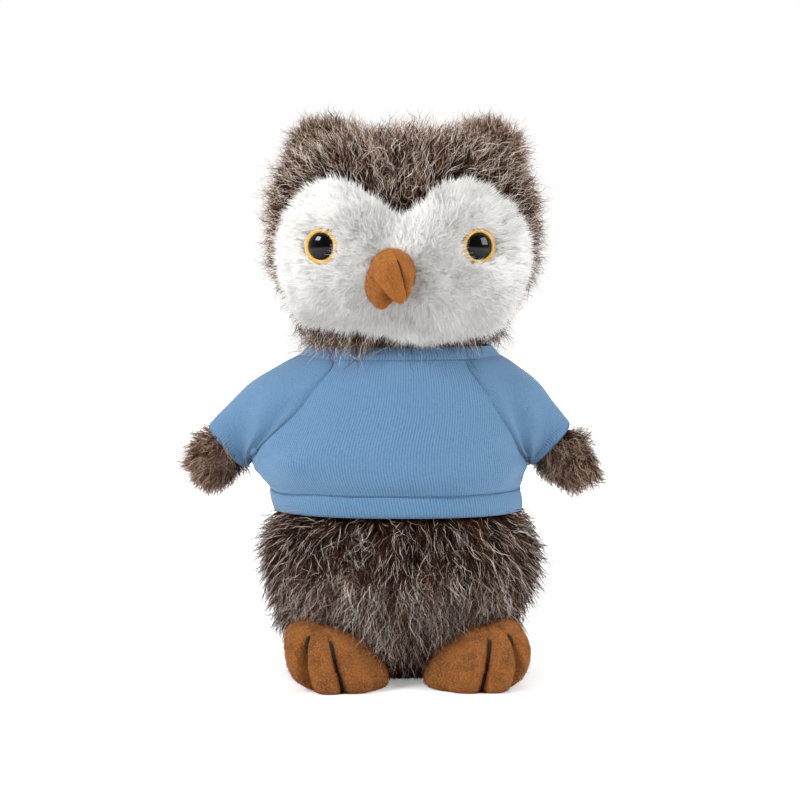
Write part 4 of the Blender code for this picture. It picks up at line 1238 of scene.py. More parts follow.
    def make_face(self, backing: Skin) -> None:
        """The white face: its swelling backing and its dense short pile.

        Args:
            backing: The head's backing.
        """
        flat = backing.points[..., [0, 2]]
        gap = self.on_face(backing.points.reshape(-1, 3)).reshape(flat.shape[:2])
        inside = np.clip(-gap / (11.0 * MM), 0.0, 1.0)
        white = backing.grown((self.face_height(flat) + self.face_proud) * inside**0.7 + 0.4 * MM)
        near = gap < -1.0 * MM
        quads = near[:-1] & np.roll(near, -1, axis=1)[:-1] & near[1:] & np.roll(near, -1, axis=1)[1:]
        wear(white.piece("face_backing", keep=quads.ravel()), WHITE_BACKING, "head",
             ("face_panel",))
        rng = np.random.default_rng(SEED + 3)
        roots, normals = white.scatter(105000, rng, (gap < -self.face_inset).astype(float))
        kept = self.clear_of_eyes(roots)
        roots, normals = roots[kept], normals[kept]
        comb = unit(roots - np.array(self.face_middle) + np.array([0.0, 0.0, -3.0 * MM]))
        material = WHITE_PLUSH.material()
        for part, chosen in (("left", roots[:, 0] >= 0.0), ("right", roots[:, 0] < 0.0)):
            tufts = 1.0 + 0.28 * wavy(roots[chosen], 2.2 * MM, SEED + 31)[:, 0].clip(-1.0, 1.0)
            tufts *= np.interp(roots[chosen][:, 2], [96.0 * MM, 102.0 * MM], [1.15, 1.0])
            grown = self.plush.grow(f"face_plush_{part}", roots[chosen], normals[chosen], comb[chosen],
                                    SEED + 30, tufts)
            wear(grown, material, "head")

    def clear_of_eyes(self, roots: Array) -> NDArray[np.bool_]:
        """True for roots outside both eyes."""
        clear = np.ones(len(roots), dtype=bool)
        for side in Side:
            low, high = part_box(f"eye_{side.label}_iris")
            middle = 0.5 * (np.array(low) + np.array(high))
            clear &= np.linalg.norm((roots - middle)[:, [0, 2]], axis=1) > self.eye_clearance
        return clear

    def make_ear(self, side: Side) -> None:
        """One ear tuft: a low mound of short upright fur at the head's top corner.

        Args:
            side: The owl's side.
        """
        low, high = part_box(f"ear_{side.label}")
        shift = self.ear_shift_left if side is Side.LEFT else self.ear_shift_right
        middle = 0.5 * (low.x + high.x) + shift
        bottom = np.array([high.z - self.ear_depth, 0.0, 0.0])
        mound = RoundForm(2.2, np.array(self.ear_rows) * np.array(self.ear_size_mm) * MM + bottom)
        skin = mound.skin(0.0, len(self.ear_rows) - 1.0, 30, 48)
        skin.points[..., 0] += middle
        skin.points[..., 1] -= 1.0 * MM
        wear(skin.piece(f"ear_{side.label}_backing"), BROWN_BACKING, "head",
             (f"ear_{side.label}",))
        rng = np.random.default_rng(SEED + 4)
        roots, normals = skin.scatter(3600, rng)
        comb = np.tile(np.array([0.25 * side.value, 0.0, 1.0]), (len(roots), 1))
        grown = self.ear_pile.grow(f"ear_{side.label}_tuft", roots, normals, comb, SEED + 40)
        wear(grown, EAR_FUR, "head")


@dataclass
class Body:
    """The furry lower body that swells out under the shirt."""

    half_width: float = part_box("body_fur_front")[1].x
    half_depth: float = -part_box("body_fur_front")[0].y
    top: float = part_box("body_fur_front")[1].z
    hem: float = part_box("shirt_hem_band")[0].z
    backing_depth: float = 4.7 * MM
    skin_thickness: float = 0.8 * MM
    bag_top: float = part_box("pellet_bag")[1].z
    base_top: float = 1.4 * MM
    waist: float = 13.0 * MM
    squareness: float = 2.2
    rows: tuple[tuple[float, float, float], ...] = (
        (0.0, 0.0, 0.0), (0.001, 0.55, 0.55), (0.012, 0.69, 0.72), (0.05, 0.76, 0.81), (0.12, 0.845, 0.89),
        (0.24, 0.95, 0.975), (0.36, 1.0, 1.0), (0.45, 0.955, 0.96), (0.52, 0.90, 0.92), (0.60, 0.88, 0.92),
        (0.75, 0.86, 0.90), (0.91, 0.76, 0.80), (0.97, 0.56, 0.62), (0.985, 0.0, 0.0),
    )
    fur: Pile = Pile(10.5 * MM, 0.21 * MM, root_lean=0.9, tip_lean=1.3, rise=0.42, lock=0.9,
                     lock_size=7.0 * MM, loose=0.42, curl=0.05, joints=5, frosted=0.34, fine=0.66,
                     clump=0.45, clump_size=3.4 * MM)
    undercoat: Pile = Pile(5.4 * MM, 0.32 * MM, root_lean=0.6, tip_lean=1.1, rise=0.6, lock=0.8,
                           lock_size=3.5 * MM, loose=0.55, curl=0.2, joints=3, frosted=0.2)
    apron: Pile = Pile(13.0 * MM, 0.22 * MM, root_lean=0.4, tip_lean=1.3, rise=0.6, lock=0.5,
                       lock_size=5.0 * MM, loose=0.3, curl=0.08, joints=6, frosted=0.38, fine=0.62,
                       clump=0.5, clump_size=3.0 * MM)

    def make(self) -> None:
        """Build the backing, the filling, the bag of pellets and the pile."""
        rows = np.array(self.rows) * np.array([self.top, self.half_width, self.half_depth])
        form = RoundForm(self.squareness, rows)
        outside = form.skin(0.0, len(self.rows) - 1.0, 130, 150)
        backing = outside.grown(-self.backing_depth)
        self.stand(backing)
        wear(backing.piece("body_backing"), BROWN_BACKING, "body",
             ("body_fur_front", "body_fur_back"))
        inner = outside.grown(-self.backing_depth - self.skin_thickness)
        self.stand(inner)
        brim = int(np.argmax(inner.points[:, 0, 2] > self.bag_top))
        wear(Skin(inner.points[brim:]).piece("body_filling"), FILLING, "body",
             ("body_stuffing",))
        lid = inner.points[brim].mean(axis=0) + 0.0 * inner.points[brim:brim + 1]
        bag = Skin(np.concatenate([inner.points[:brim + 1], lid]))
        wear(bag.piece("pellet_bag_cloth"), PELLET_CLOTH, "body", ("pellet_bag",))
        self.grow_pile(backing)
        self.make_apron(backing)

    def grow_pile(self, backing: Skin) -> None:
        """Grow undercoat and long fur below the shirt's hem, in front and back halves.

        Args:
            backing: The surface that carries the roots.
        """
        heights = backing.points[..., 2]
        furry = ((heights > 1.5 * MM) & (heights < self.hem + 1.0 * MM)) * 1.0
        for label, pile, count, seed, finish in (
                ("fur", self.fur, 30000, 5, BROWN_FUR), ("undercoat", self.undercoat, 20000, 6, UNDERCOAT)):
            material = finish.material()
            roots, normals = backing.scatter(count, np.random.default_rng(SEED + seed), furry)
            comb = np.tile(np.array([0.0, 0.0, -1.0]), (len(roots), 1))
            below_hem = np.clip((self.hem - roots[:, 2]) / (8.0 * MM), 0.0, 1.0)
            lift = np.interp(roots[:, 2], [6.0 * MM, 22.0 * MM, 34.0 * MM], [0.25, 0.8, 1.0])
            over_feet = np.clip(-roots[:, 1] / (20.0 * MM), 0.0, 1.0)
            over_feet *= np.clip((26.0 * MM - roots[:, 2]) / (8.0 * MM), 0.0, 1.0)
            lift = lift + 0.6 * over_feet
            low = np.interp(roots[:, 2], [1.5 * MM, 19.0 * MM], [0.4, 1.0])
            for part, chosen in (("front", roots[:, 1] < 0.0), ("back", roots[:, 1] >= 0.0)):
                grown = pile.grow(f"lower_{label}_{part}", roots[chosen], normals[chosen], comb[chosen],
                                  SEED + 10 * seed, ((0.8 + 0.2 * below_hem) * low)[chosen], lift[chosen])
                wear(grown, material, "body")

    def stand(self, skin: Skin) -> None:
        """Stretch a surface's lowest part down to the base panel, up to the waist.

        Args:
            skin: The surface, which is changed.
        """
        heights = skin.points[..., 2]
        bottom = heights.min()
        down = self.base_top + (heights - bottom) * (self.waist - self.base_top) / (self.waist - bottom)
        skin.points[..., 2] = np.where(heights < self.waist, down, heights)

    def make_apron(self, backing: Skin) -> None:
        """Grow the long pile of the belly's lower edge, which hangs over the feet in front.

        Args:
            backing: The surface that carries the roots.
        """
        points = backing.points
        band = ((points[..., 2] > 14.0 * MM) & (points[..., 2] < 31.0 * MM) & (points[..., 1] < 0.0)
                & (np.abs(points[..., 0]) < 28.0 * MM))
        roots, normals = backing.scatter(10300, np.random.default_rng(SEED + 12), band * 1.0)
        comb = np.tile(np.array([0.0, -0.5, -1.0]), (len(roots), 1))
        short = np.interp(roots[:, 2], [14.0 * MM, 27.0 * MM], [0.8, 1.05])
        aside = np.clip(np.abs(roots[:, 0]) / (28.0 * MM), 0.0, 1.0)
        grown = self.apron.grow("body_apron", roots, normals, comb, SEED + 120, short * (1.22 - 0.55 * aside))
        wear(grown, BROWN_FUR.material(), "body")


@dataclass(frozen=True)
class Shoulder:
    """Where a wing turns on the body, how it hangs, and where its sleeve ends.

    Places are outwards and up from the pivot. The wing's middle line is the curve
    (1-t)^2 pivot + 2 t (1-t) bend + t^2 tip, with the bend set so that it passes the cuff at t = 1/2.
    """

    side: Side
    pivot: tuple[float, float, float]
    cuff: tuple[float, float]
    tip: tuple[float, float]
    cuff_tilt_deg: float
    cuff_radius: float

    def middle(self) -> Array:
        """The pivot as it lies on the left side."""
        return np.array([abs(self.pivot[0]), self.pivot[1], self.pivot[2]])

    def cuff_middle(self) -> Array:
        """The middle of the cuff's opening as it lies on the left side."""
        return self.middle() + np.array([self.cuff[0], 0.0, self.cuff[1]])

    def cuff_axes(self) -> Array:
        """The cuff's axes as rows, for the left side: out of it, back, and up across it."""
        tilt = math.radians(self.cuff_tilt_deg)
        return np.array([[math.cos(tilt), 0.0, -math.sin(tilt)], [0.0, 1.0, 0.0],
                         [math.sin(tilt), 0.0, math.cos(tilt)]])

    def wing_line(self, t: Array) -> tuple[Array, Array]:
        """Points and directions of the wing's middle line, for the left side.

        Args:
            t: Shares along it, from the pivot to the tip.

        Returns:
            Points and unit directions.
        """
        start = self.middle()
        tip = start + np.array([self.tip[0], 0.0, self.tip[1]])
        bend = 2.0 * self.cuff_middle() - 0.5 * (start + tip)
        t = t[:, None]
        points = (1.0 - t)**2 * start + 2.0 * t * (1.0 - t) * bend + t**2 * tip
        return points, unit((1.0 - t) * (bend - start) + t * (tip - bend))

    def tube(self, middles: Array, along: Array, across: Array, deep: Array, columns: int) -> Skin:
        """Rings round a line that lies upright beside the body, on the owl's own side.

        Args:
            middles: Middle of each ring, for the left side.
            along: Unit direction of the line at each ring.
            across: Half size of each ring across the line.
            deep: Half size of each ring from front to back.
            columns: Points round each ring.

        Returns:
            The surface.
        """
        upward = np.stack([-along[:, 2], 0.0 * along[:, 2], along[:, 0]], axis=1)
        angle = round_angles(columns)[None, :, None]
        rings = (middles[:, None] + deep[:, None, None] * np.cos(angle) * np.array([0.0, 1.0, 0.0])
                 + across[:, None, None] * np.sin(angle) * upward[:, None])
        skin = Skin(rings)
        return skin if self.side is Side.LEFT else skin.mirrored()


def pivot_of(side: Side) -> tuple[float, float, float]:
    """The joint's place of one wing."""
    joint = next(j for j in frame["joints"] if j["name"] == f"wing_{side.label}_lift")
    return tuple(joint["pos_m"])


SHOULDERS = (
    Shoulder(Side.LEFT, pivot_of(Side.LEFT), (4.4 * MM, -8.6 * MM), (14.0 * MM, -16.4 * MM), 42.0, 7.8 * MM),
    Shoulder(Side.RIGHT, pivot_of(Side.RIGHT), (10.6 * MM, -9.2 * MM), (16.0 * MM, -17.0 * MM), 40.0,
             7.6 * MM),
)


@dataclass
class Wing:
    """One stuffed wing, whose furry tip shows below the sleeve."""

    shoulder: Shoulder
    half_width: float = 4.2 * MM
    half_depth: float = 3.8 * MM
    skin_thickness: float = 0.8 * MM
    bare_share: float = 0.42
    rows: tuple[tuple[float, float, float], ...] = (
        (0.0, 1.0, 1.0), (0.2, 0.98, 0.98), (0.42, 0.94, 0.94), (0.62, 1.0, 0.98), (0.8, 0.98, 0.94),
        (0.93, 0.70, 0.68), (0.985, 0.36, 0.35), (1.0, 0.0, 0.0),
    )
    fur: Pile = Pile(7.2 * MM, 0.20 * MM, root_lean=0.7, tip_lean=1.2, rise=0.45, lock=0.8,
                     lock_size=4.0 * MM, loose=0.38, curl=0.12, joints=5, frosted=0.5, fine=0.66,
                     clump=0.5, clump_size=2.6 * MM)
    undercoat: Pile = Pile(4.2 * MM, 0.28 * MM, root_lean=0.5, tip_lean=1.0, rise=0.6, lock=0.7,
                           lock_size=3.0 * MM, loose=0.5, curl=0.2, joints=3, frosted=0.2)

    def form(self, inwards: float) -> Skin:
        """The wing's surface from the shoulder to the tip, set inwards by a depth."""
        places = np.linspace(0.0, 1.0, 60)
        shares = np.maximum(read_table(self.rows, places), 0.0)
        shares[-1] = 0.0
        middles, along = self.shoulder.wing_line(places * (1.0 - inwards / (18.0 * MM)))
        return self.shoulder.tube(middles, along, shares[:, 0] * (self.half_width - inwards) + LEAST_RADIUS,
                                  shares[:, 1] * (self.half_depth - inwards) + LEAST_RADIUS, 48)

    def make(self) -> None:
        """Build the backing, its filling and its pile, from inside the cuff out to the tip."""
        label = self.shoulder.side.label
        body = f"wing_{label}"
        skin = self.form(0.0)
        wear(skin.piece(f"wing_{label}_backing"), BROWN_BACKING, body, (f"wing_{label}_fur",))
        filling = self.form(self.skin_thickness).piece(f"wing_{label}_filling")
        wear(filling, FILLING, body, (f"wing_{label}_stuffing",))
        outer = Skin(skin.points[int(self.bare_share * 60):])
        for part, pile, count, seed in (("fur", self.fur, 4600, 7), ("undercoat", self.undercoat, 2800, 8)):
            roots, normals = outer.scatter(count, np.random.default_rng(SEED + seed))
            comb = np.tile(np.array([0.45 * self.shoulder.side.value, 0.0, -1.0]), (len(roots), 1))
            grown = pile.grow(f"wing_{label}_{part}", roots, normals, comb, SEED + 10 * seed)
            wear(grown, WING_FUR if part == "fur" else UNDERCOAT, body)


@dataclass
class Shirt:
    """Knitted raglan jersey: body cloth, two sleeves, neckband, hem band and seams."""

    half_width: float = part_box("body_fur_front")[1].x
    half_depth: float = -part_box("body_fur_front")[0].y
    body_top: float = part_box("body_fur_front")[1].z
    hem_z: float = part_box("shirt_hem_band")[0].z
    hem_height: float = 6.2 * MM
    neck_z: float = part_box("shirt_neckband")[0].z
    neck_height: float = 4.2 * MM
    thickness: float = 1.0 * MM
    squareness: float = 2.2
    rows: tuple[tuple[float, float, float], ...] = (
        (0.495, 0.885, 0.92), (0.53, 0.895, 0.935), (0.565, 0.90, 0.945), (0.60, 0.95, 0.985),
        (0.65, 0.985, 1.0), (0.70, 0.965, 0.995), (0.76, 0.925, 0.97), (0.83, 0.875, 0.92),
        (0.90, 0.83, 0.86), (0.95, 0.75, 0.78), (0.985, 0.68, 0.71), (1.01, 0.635, 0.67),
    )
    armhole: tuple[tuple[float, float], ...] = (
        (0.0, 88.0), (-32.0, 87.8), (-47.0, 86.0), (-42.0, 78.0), (-33.0, 70.0), (-17.0, 62.0), (0.0, 58.5),
        (17.0, 62.0), (33.0, 70.0), (42.0, 78.0), (47.0, 86.0), (32.0, 87.8), (0.0, 88.0),
    )

    def form(self) -> RoundForm:
        """The jersey's outside round the body."""
        rows = np.array(self.rows) * np.array([self.body_top, self.half_width, self.half_depth])
        return RoundForm(self.squareness, rows)

    def sway(self, z: Array) -> Array:
        """How far the cloth hangs to the owl's right at a height: most just above the hem."""
        return -3.2 * MM * np.exp(-((z - 60.0 * MM) / (11.0 * MM))**2)

    def torso(self, low: float, high: float, rings: int, columns: int) -> Skin:
        """The jersey round the body between two heights.

        Args:
            low: Lower height.
            high: Upper height.
            rings: Number of rings.
            columns: Points round each ring.

        Returns:
            The surface.
        """
        form = self.form()
        skin = form.skin(form.level(low), form.level(high), rings, columns)
        skin.points[..., 0] += self.sway(skin.points[..., 2])
        return skin

    def flat_cloth(self, skin: Skin) -> Array:
        """Flat cloth coordinates: the way round at the widest ring, and the height up the cloth."""
        points = skin.points
        steps = np.linalg.norm(np.roll(points, -1, axis=1) - points, axis=-1)
        around = np.cumsum(steps, axis=1) - steps
        widest = around[np.argmax(around[:, -1])]
        up = np.zeros(points.shape[0])
        up[1:] = np.cumsum(np.linalg.norm(np.diff(points, axis=0), axis=-1).mean(axis=1))
        return np.stack(np.broadcast_arrays(widest[None, :], up[:, None]), axis=-1)

    def make(self) -> None:
        """Build the body cloth, the bands, the sleeves and the seams."""
        material = JERSEY.material()
        bands = self.make_bands(material)
        self.make_torso(material)
        for shoulder in SHOULDERS:
            self.make_sleeve(shoulder, material)

    def folds(self, skin: Skin) -> Array:
        """How far soft folds lift the body cloth: long ones from the armpits, short ones at the hem."""
        points, angle = skin.points, np.arctan2(skin.points[..., 1], skin.points[..., 0])
        z = points[..., 2]
        lift = np.zeros(z.shape)
        for side in (1.0, -1.0):
            reach = np.hypot(side * points[..., 0] - 40.0 * MM, z - 58.0 * MM)
            turn = np.arctan2(z - 58.0 * MM, 40.0 * MM - side * points[..., 0])
            fan = np.cos(7.0 * turn + 0.8 * side) * np.exp(-((reach - 13.0 * MM) / (10.0 * MM))**2)
            lift += 0.55 * MM * fan
        low = np.exp(-((z - 56.0 * MM) / (5.0 * MM))**2)
        lift += 0.45 * MM * low * np.cos(9.0 * angle + 1.0) * np.cos(4.0 * angle)
        return lift + 0.35 * MM * wavy(points.reshape(-1, 3), 13.0 * MM, 77)[:, 0].reshape(z.shape)

    def make_torso(self, material: bpy.types.Material) -> None:
        """The body cloth from the hem seam to the neckband.

        Args:
            material: The jersey.
        """
        skin = self.torso(self.hem_z + self.hem_height - 0.4 * MM, self.neck_z + 0.6 * MM, 90, 240)
        flat = self.flat_cloth(skin)
        skin = skin.grown(self.folds(skin))
        made = skin.piece("shirt_body_cloth", flat)
        self.thicken(made)
        wear(made, material, "body",
             ("shirt_front", "shirt_back", "sleeve_left_shoulder", "sleeve_right_shoulder"))
        for place, ring in (("hem", 1), ("collar", -2)):
            edge = skin.points[ring] + 0.1 * MM * skin.normals()[ring]
            line = thread_along(f"shirt_{place}_seam", np.concatenate([edge, edge[:1]]), 0.22 * MM, 6, 0.6)
            wear(line, BLUE_THREAD, "body")

    def thicken(self, piece: bpy.types.Object) -> None:
        """Give a cloth its thickness, inwards from its outside."""
        wall = piece.modifiers.new("thickness", "SOLIDIFY")
        wall.thickness = self.thickness
        wall.offset = -1.0

    def make_bands(self, material: bpy.types.Material) -> list[bpy.types.Object]:
        """The doubled hem and neckband, each a rolled edge over the body cloth.

        Args:
            material: The jersey.

        Returns:
            The hem and the neckband.
        """
        bands = []
        for name, low, height, proud, replaced in (
                ("shirt_hem", self.hem_z, self.hem_height, 0.35 * MM, "shirt_hem_band"),
                ("shirt_collar", self.neck_z, self.neck_height, 0.5 * MM, "shirt_neckband")):
            skin = self.torso(low, low + height, 24, 300)
            flat = self.flat_cloth(skin)
            share = np.linspace(-1.0, 1.0, 24)[:, None]
            round_off = np.sqrt(np.maximum(1.0 - np.abs(share)**5, 0.0))
            skin = skin.grown((round_off - 1.0) * 1.1 * MM + proud + 0.0 * skin.points[..., 0])
            made = skin.piece(name, flat)
            self.thicken(made)
            bands.append(wear(made, material, "body", (replaced,)))
        return bands

    def sleeve(self, shoulder: Shoulder, rings: int, columns: int) -> Skin:
        """A sleeve's cloth from its raglan seam to its cuff, as a curve from each seam point.

        The curve is a cubic with a given start and end direction: it leaves the seam along the shoulder
        and arrives at the cuff along the wing.

        Args:
            shoulder: The side's shoulder.
            rings: Rows from the seam to the cuff.
            columns: Points round the sleeve.

        Returns:
            The surface.
        """
        form = self.form()
        places = np.linspace(0.0, len(self.armhole) - 1.0, columns + 1)
        rows = smooth_rows(np.array(self.armhole), places)[:-1]
        angle, z = np.radians(rows[:, 0]), rows[:, 1] * MM
        shares = read_table(self.rows, z / self.body_top)
        across, deep = shares[:, 0] * self.half_width, shares[:, 1] * self.half_depth
        radius = form.reach(angle, across, deep)
        start = np.stack([radius * np.cos(angle) + shoulder.side.value * self.sway(z),
                          radius * np.sin(angle), z], axis=1)
        along, back, upward = shoulder.cuff_axes()
        turn = round_angles(columns)[:, None]
        end = (shoulder.cuff_middle() - 0.9 * shoulder.cuff_radius * np.sin(turn) * back
               + shoulder.cuff_radius * np.cos(turn) * upward)
        arrive = unit(along + np.array([0.0, 0.0, -0.45]) * (0.5 + 0.5 * np.cos(turn)))
        span = np.linalg.norm(end - start, axis=1, keepdims=True)
        leave = unit(np.array([1.0, 0.0, -0.35]) + 0.35 * unit(start * np.array([1.0, 1.0, 0.0])))
        t = np.linspace(0.0, 1.0, rings)[:, None, None]
        points = ((2 * t**3 - 3 * t**2 + 1) * start + (t**3 - 2 * t**2 + t) * 0.8 * span * leave
                  + (3 * t**2 - 2 * t**3) * end + (t**3 - t**2) * 0.7 * span * arrive)
        skin = Skin(points)
        skin = skin.grown(self.sleeve_folds(t[..., 0], turn[None, :, 0], shoulder.side.value))
        return skin if shoulder.side is Side.LEFT else skin.mirrored()

    def sleeve_folds(self, t: Array, turn: Array, side: int) -> Array:
        """How far soft folds lift a sleeve: bands round it, deepest in front below the shoulder.

        Args:
            t: Share from the seam to the cuff.
            turn: Angle round the sleeve, from its top.
            side: Side of the sleeve, which shifts the folds.

        Returns:
            Lift of each point.
        """
        middle = np.sin(math.pi * t)**2
        bands = np.cos(2.0 * math.pi * (1.7 * t + 0.2 * np.cos(turn + 0.6 * side)))
        below = 0.3 + 0.7 * np.abs(np.sin(0.5 * turn))
        return (1.1 * bands + 0.1) * MM * middle * below

    def make_sleeve(self, shoulder: Shoulder, material: bpy.types.Material) -> None:
        """One sleeve, its cuff and its raglan seam.

        Args:
            shoulder: The side's shoulder.
            material: The jersey.
        """
        label = shoulder.side.label
        skin = self.sleeve(shoulder, 70, 160)
        flat = self.flat_cloth(skin)
        made = skin.piece(f"sleeve_{label}_cloth", flat)
        self.thicken(made)
        made.data.materials.append(material)
        note(made, (f"sleeve_{label}",))
        side = shoulder.side.value
        outer = shoulder.cuff_middle() * np.array([side, 1.0, 1.0])
        seam = skin.points[0] + 0.15 * MM * skin.normals()[0]
        seam = np.concatenate([seam, seam[:1]])
        line = thread_along(f"sleeve_{label}_seam", seam, 0.2 * MM, 6, 0.6)
        wear(line, BLUE_THREAD, "body")
        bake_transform(made)
        cuff = self.make_cuff(shoulder, material)

    def make_cuff(self, shoulder: Shoulder, material: bpy.types.Material) -> bpy.types.Object:
        """The doubled hem at the end of a sleeve.

        Args:
            shoulder: The side's shoulder.
            material: The jersey.

        Returns:
            The hem.
        """
        label = shoulder.side.label
        share = np.linspace(-1.0, 1.0, 16)
        swell = (np.sqrt(np.maximum(1.0 - np.abs(share)**5, 0.0)) - 1.0) * 1.0 * MM + 0.4 * MM
        swell -= 1.3 * MM * np.clip(share, 0.0, 1.0)**2
        out = shoulder.cuff_axes()[:1]
        middles = shoulder.cuff_middle() + ((share - 0.6) * 2.0 * MM)[:, None] * out
        skin = shoulder.tube(middles, np.repeat(out, len(share), axis=0), shoulder.cuff_radius + swell,
                             0.9 * shoulder.cuff_radius + swell, 90)
        flat = self.flat_cloth(skin)
        made = skin.piece(f"sleeve_{label}_hem", flat)
        self.thicken(made)
        return wear(made, material, f"wing_{label}", (f"sleeve_{label}_cuff",))


def thread_along(name: str, path: Array, radius: float, columns: int = 8,
                 flat: float = 1.0) -> bpy.types.Object:
    """A round thread carried along a path, its ends drawn in to a point.

    A ring lies at each path point, square to the path, and its radius falls to nothing at both ends.

    Args:
        name: Name of the piece.
        path: Points of its centreline.
        radius: The thread's radius.
        columns: Points round it.
        flat: Thickness as a share of its width.

    Returns:
        The new object, with flat coordinates round and along it in metres.
    """
    along = unit(np.gradient(path, axis=0))
    side = unit(np.cross(along, np.array([0.3, 0.2, 1.0])))
    other = np.cross(along, side)
    angle = round_angles(columns)[None, :, None]
    place = np.linspace(-1.0, 1.0, len(path))
    size = radius * np.sqrt(np.maximum(1.0 - np.abs(place)**12, 0.0))[:, None, None]
    rings = path[:, None] + size * (np.cos(angle) * side[:, None] + flat * np.sin(angle) * other[:, None])
    reach = np.concatenate([[0.0], np.cumsum(np.linalg.norm(np.diff(path, axis=0), axis=1))])
    around = np.arange(columns) * 2.0 * math.pi * radius / columns
    uv = np.stack(np.broadcast_arrays(around[None, :], reach[:, None]), axis=-1)
    return Skin(rings).piece(name, uv)


@dataclass
class Foot:
    """One felt foot with three stuffed toes, drawn in by two long stitches."""

    side: Side
    turn_deg: float
    half_width: float = 13.8 * MM
    half_length: float = 14.9 * MM
    height: float = 15.8 * MM
    heel_share: float = 0.72
    groove_deg: float = 24.0
    groove_depth: float = 2.9 * MM
    toe_swell: float = 1.4 * MM
    outer_lift: float = 5.2 * MM
    top_out: float = 3.6 * MM
    inner_drop: float = 0.15
    rows: tuple[tuple[float, float], ...] = (
        (0.0, 0.84), (0.03, 0.91), (0.12, 0.98), (0.28, 1.01), (0.46, 0.975), (0.63, 0.885), (0.79, 0.73),
        (0.91, 0.52), (0.98, 0.28), (1.0, 0.0),
    )
    fuzz: Pile = Pile(0.9 * MM, 0.09 * MM, root_lean=0.6, tip_lean=0.7, rise=0.5, lock=0.4,
                      lock_size=2.0 * MM, loose=0.7, curl=0.2, joints=2)

    def hinge(self) -> Array:
        """The joint's place of this foot."""
        joint = next(j for j in frame["joints"] if j["name"] == f"foot_{self.side.label}_flex")
        return np.array(joint["pos_m"])

    def to_world(self, points: Array) -> Array:
        """Place points given in the foot's own axes: toes towards -Y, heel on the hinge, then turned."""
        turn = math.radians(self.turn_deg)
        x, y = points[..., 0], points[..., 1] - self.heel_share * self.half_length
        hinge = self.hinge()
        return np.stack([hinge[0] + x * math.cos(turn) - y * math.sin(turn),
                         hinge[1] + x * math.sin(turn) + y * math.cos(turn), points[..., 2]], axis=-1)

    def own_form(self, levels: Array, angle: Array) -> Array:
        """The foot's surface in its own axes.

        At an angle from the front the outline is an ellipse, less a groove on each side of the middle toe
        of depth exp(-(offset / width)^2), plus a swelling between the grooves. Both fade towards the top.

        Args:
            levels: Row numbers of the table.
            angle: Angles from the front, one per column.

        Returns:
            A grid of points.
        """
        shares = smooth_rows(np.array(self.rows), levels)
        groove_at = math.radians(self.groove_deg)
        near = sum(np.exp(-((angle - place) / math.radians(6.0))**2) for place in (-groove_at, groove_at))
        front = 1.0 / (1.0 + np.exp((np.abs(angle) - math.radians(80.0)) / math.radians(9.0)))
        toes = np.cos(angle * math.pi / groove_at)
        fade = np.clip((1.02 - shares[:, :1]) / 0.42, 0.0, 1.0)
        fade = fade * np.clip(shares[:, :1] / 0.03 + 0.4, 0.0, 1.0)
        change = fade * (-self.groove_depth * near + self.toe_swell * 0.5 * (toes - 1.0) * front)[None, :]
        plan = np.maximum(shares[:, 1:2], 0.0)
        x = np.sin(angle)[None, :] * (plan * self.half_width + change * plan)
        x = x + self.side.value * self.top_out * (shares[:, :1] - 0.25)
        y = -np.cos(angle)[None, :] * (plan * self.half_length + change * plan)
        sag = 1.0 - 0.16 * np.clip(-y / self.half_length, 0.0, 1.0)**2
        z = shares[:, :1] * self.height * sag - 0.5 * self.groove_depth * near * fade * (shares[:, :1] > 0.4)
        outer = np.clip(self.side.value * x / self.half_width, 0.0, 1.0)
        inner = np.clip(-self.side.value * x / self.half_width, 0.0, 1.0)
        z = (z + self.outer_lift * outer**1.6) * (1.0 - self.inner_drop * inner**1.3)
        return np.stack([x, y, z], axis=-1)

    def make(self) -> None:
        """Build the felt, its underside, the two stitches and the fuzz."""
        label = self.side.label
        body = f"foot_{label}"
        angle = (np.arange(168) - 84) * 2.0 * math.pi / 168
        grid = self.to_world(self.own_form(np.linspace(0.0, len(self.rows) - 1.0, 90), angle))
        felt = Skin(grid)
        wear(felt.piece(f"foot_{label}_felt"), BROWN_FELT, body, (f"foot_{label}_upper",))
        core = grid.mean(axis=(0, 1))
        inner = Skin(core + 0.86 * (grid - core))
        wear(inner.piece(f"foot_{label}_filling"), FILLING, body,
             (f"foot_{label}_stuffing",))
        shares = np.linspace(0.0, 1.0, 8)[:, None, None]
        middle = grid[0].mean(axis=0)
        under = Skin(middle + (grid[0] - middle) * shares)
        wear(under.piece(f"foot_{label}_underside"), BROWN_FELT, body, (f"foot_{label}_sole",))
        self.make_stitches(body)
        roots, normals = felt.scatter(7000, np.random.default_rng(SEED + 9))
        comb = np.tile([0.0, -0.3, -1.0], (len(roots), 1))
        fuzz = self.fuzz.grow(f"foot_{label}_fuzz", roots, normals, comb, SEED + 90)
        wear(fuzz, FELT_FUZZ, body)

    def make_stitches(self, body: str) -> None:
        """Two long stitches, each from under a toe's front up over the foot.

        Args:
            body: The foot's CAD body.
        """
        label = self.side.label
        levels = np.linspace(0.9, 6.9, 40)
        for sign, place in ((1, "outer"), (-1, "inner")):
            angle = np.array([sign * math.radians(self.groove_deg)])
            path = self.to_world(self.own_form(levels, angle))[:, 0]
            outwards = unit(path - (self.hinge() + np.array([0.0, -6.0 * MM, 3.0 * MM])))
            stitch = thread_along(f"foot_{label}_stitch_{place}", path + 0.3 * MM * outwards, 0.5 * MM)
            wear(stitch, BLACK_THREAD, body, (f"foot_{label}_toe_thread_{place}",))


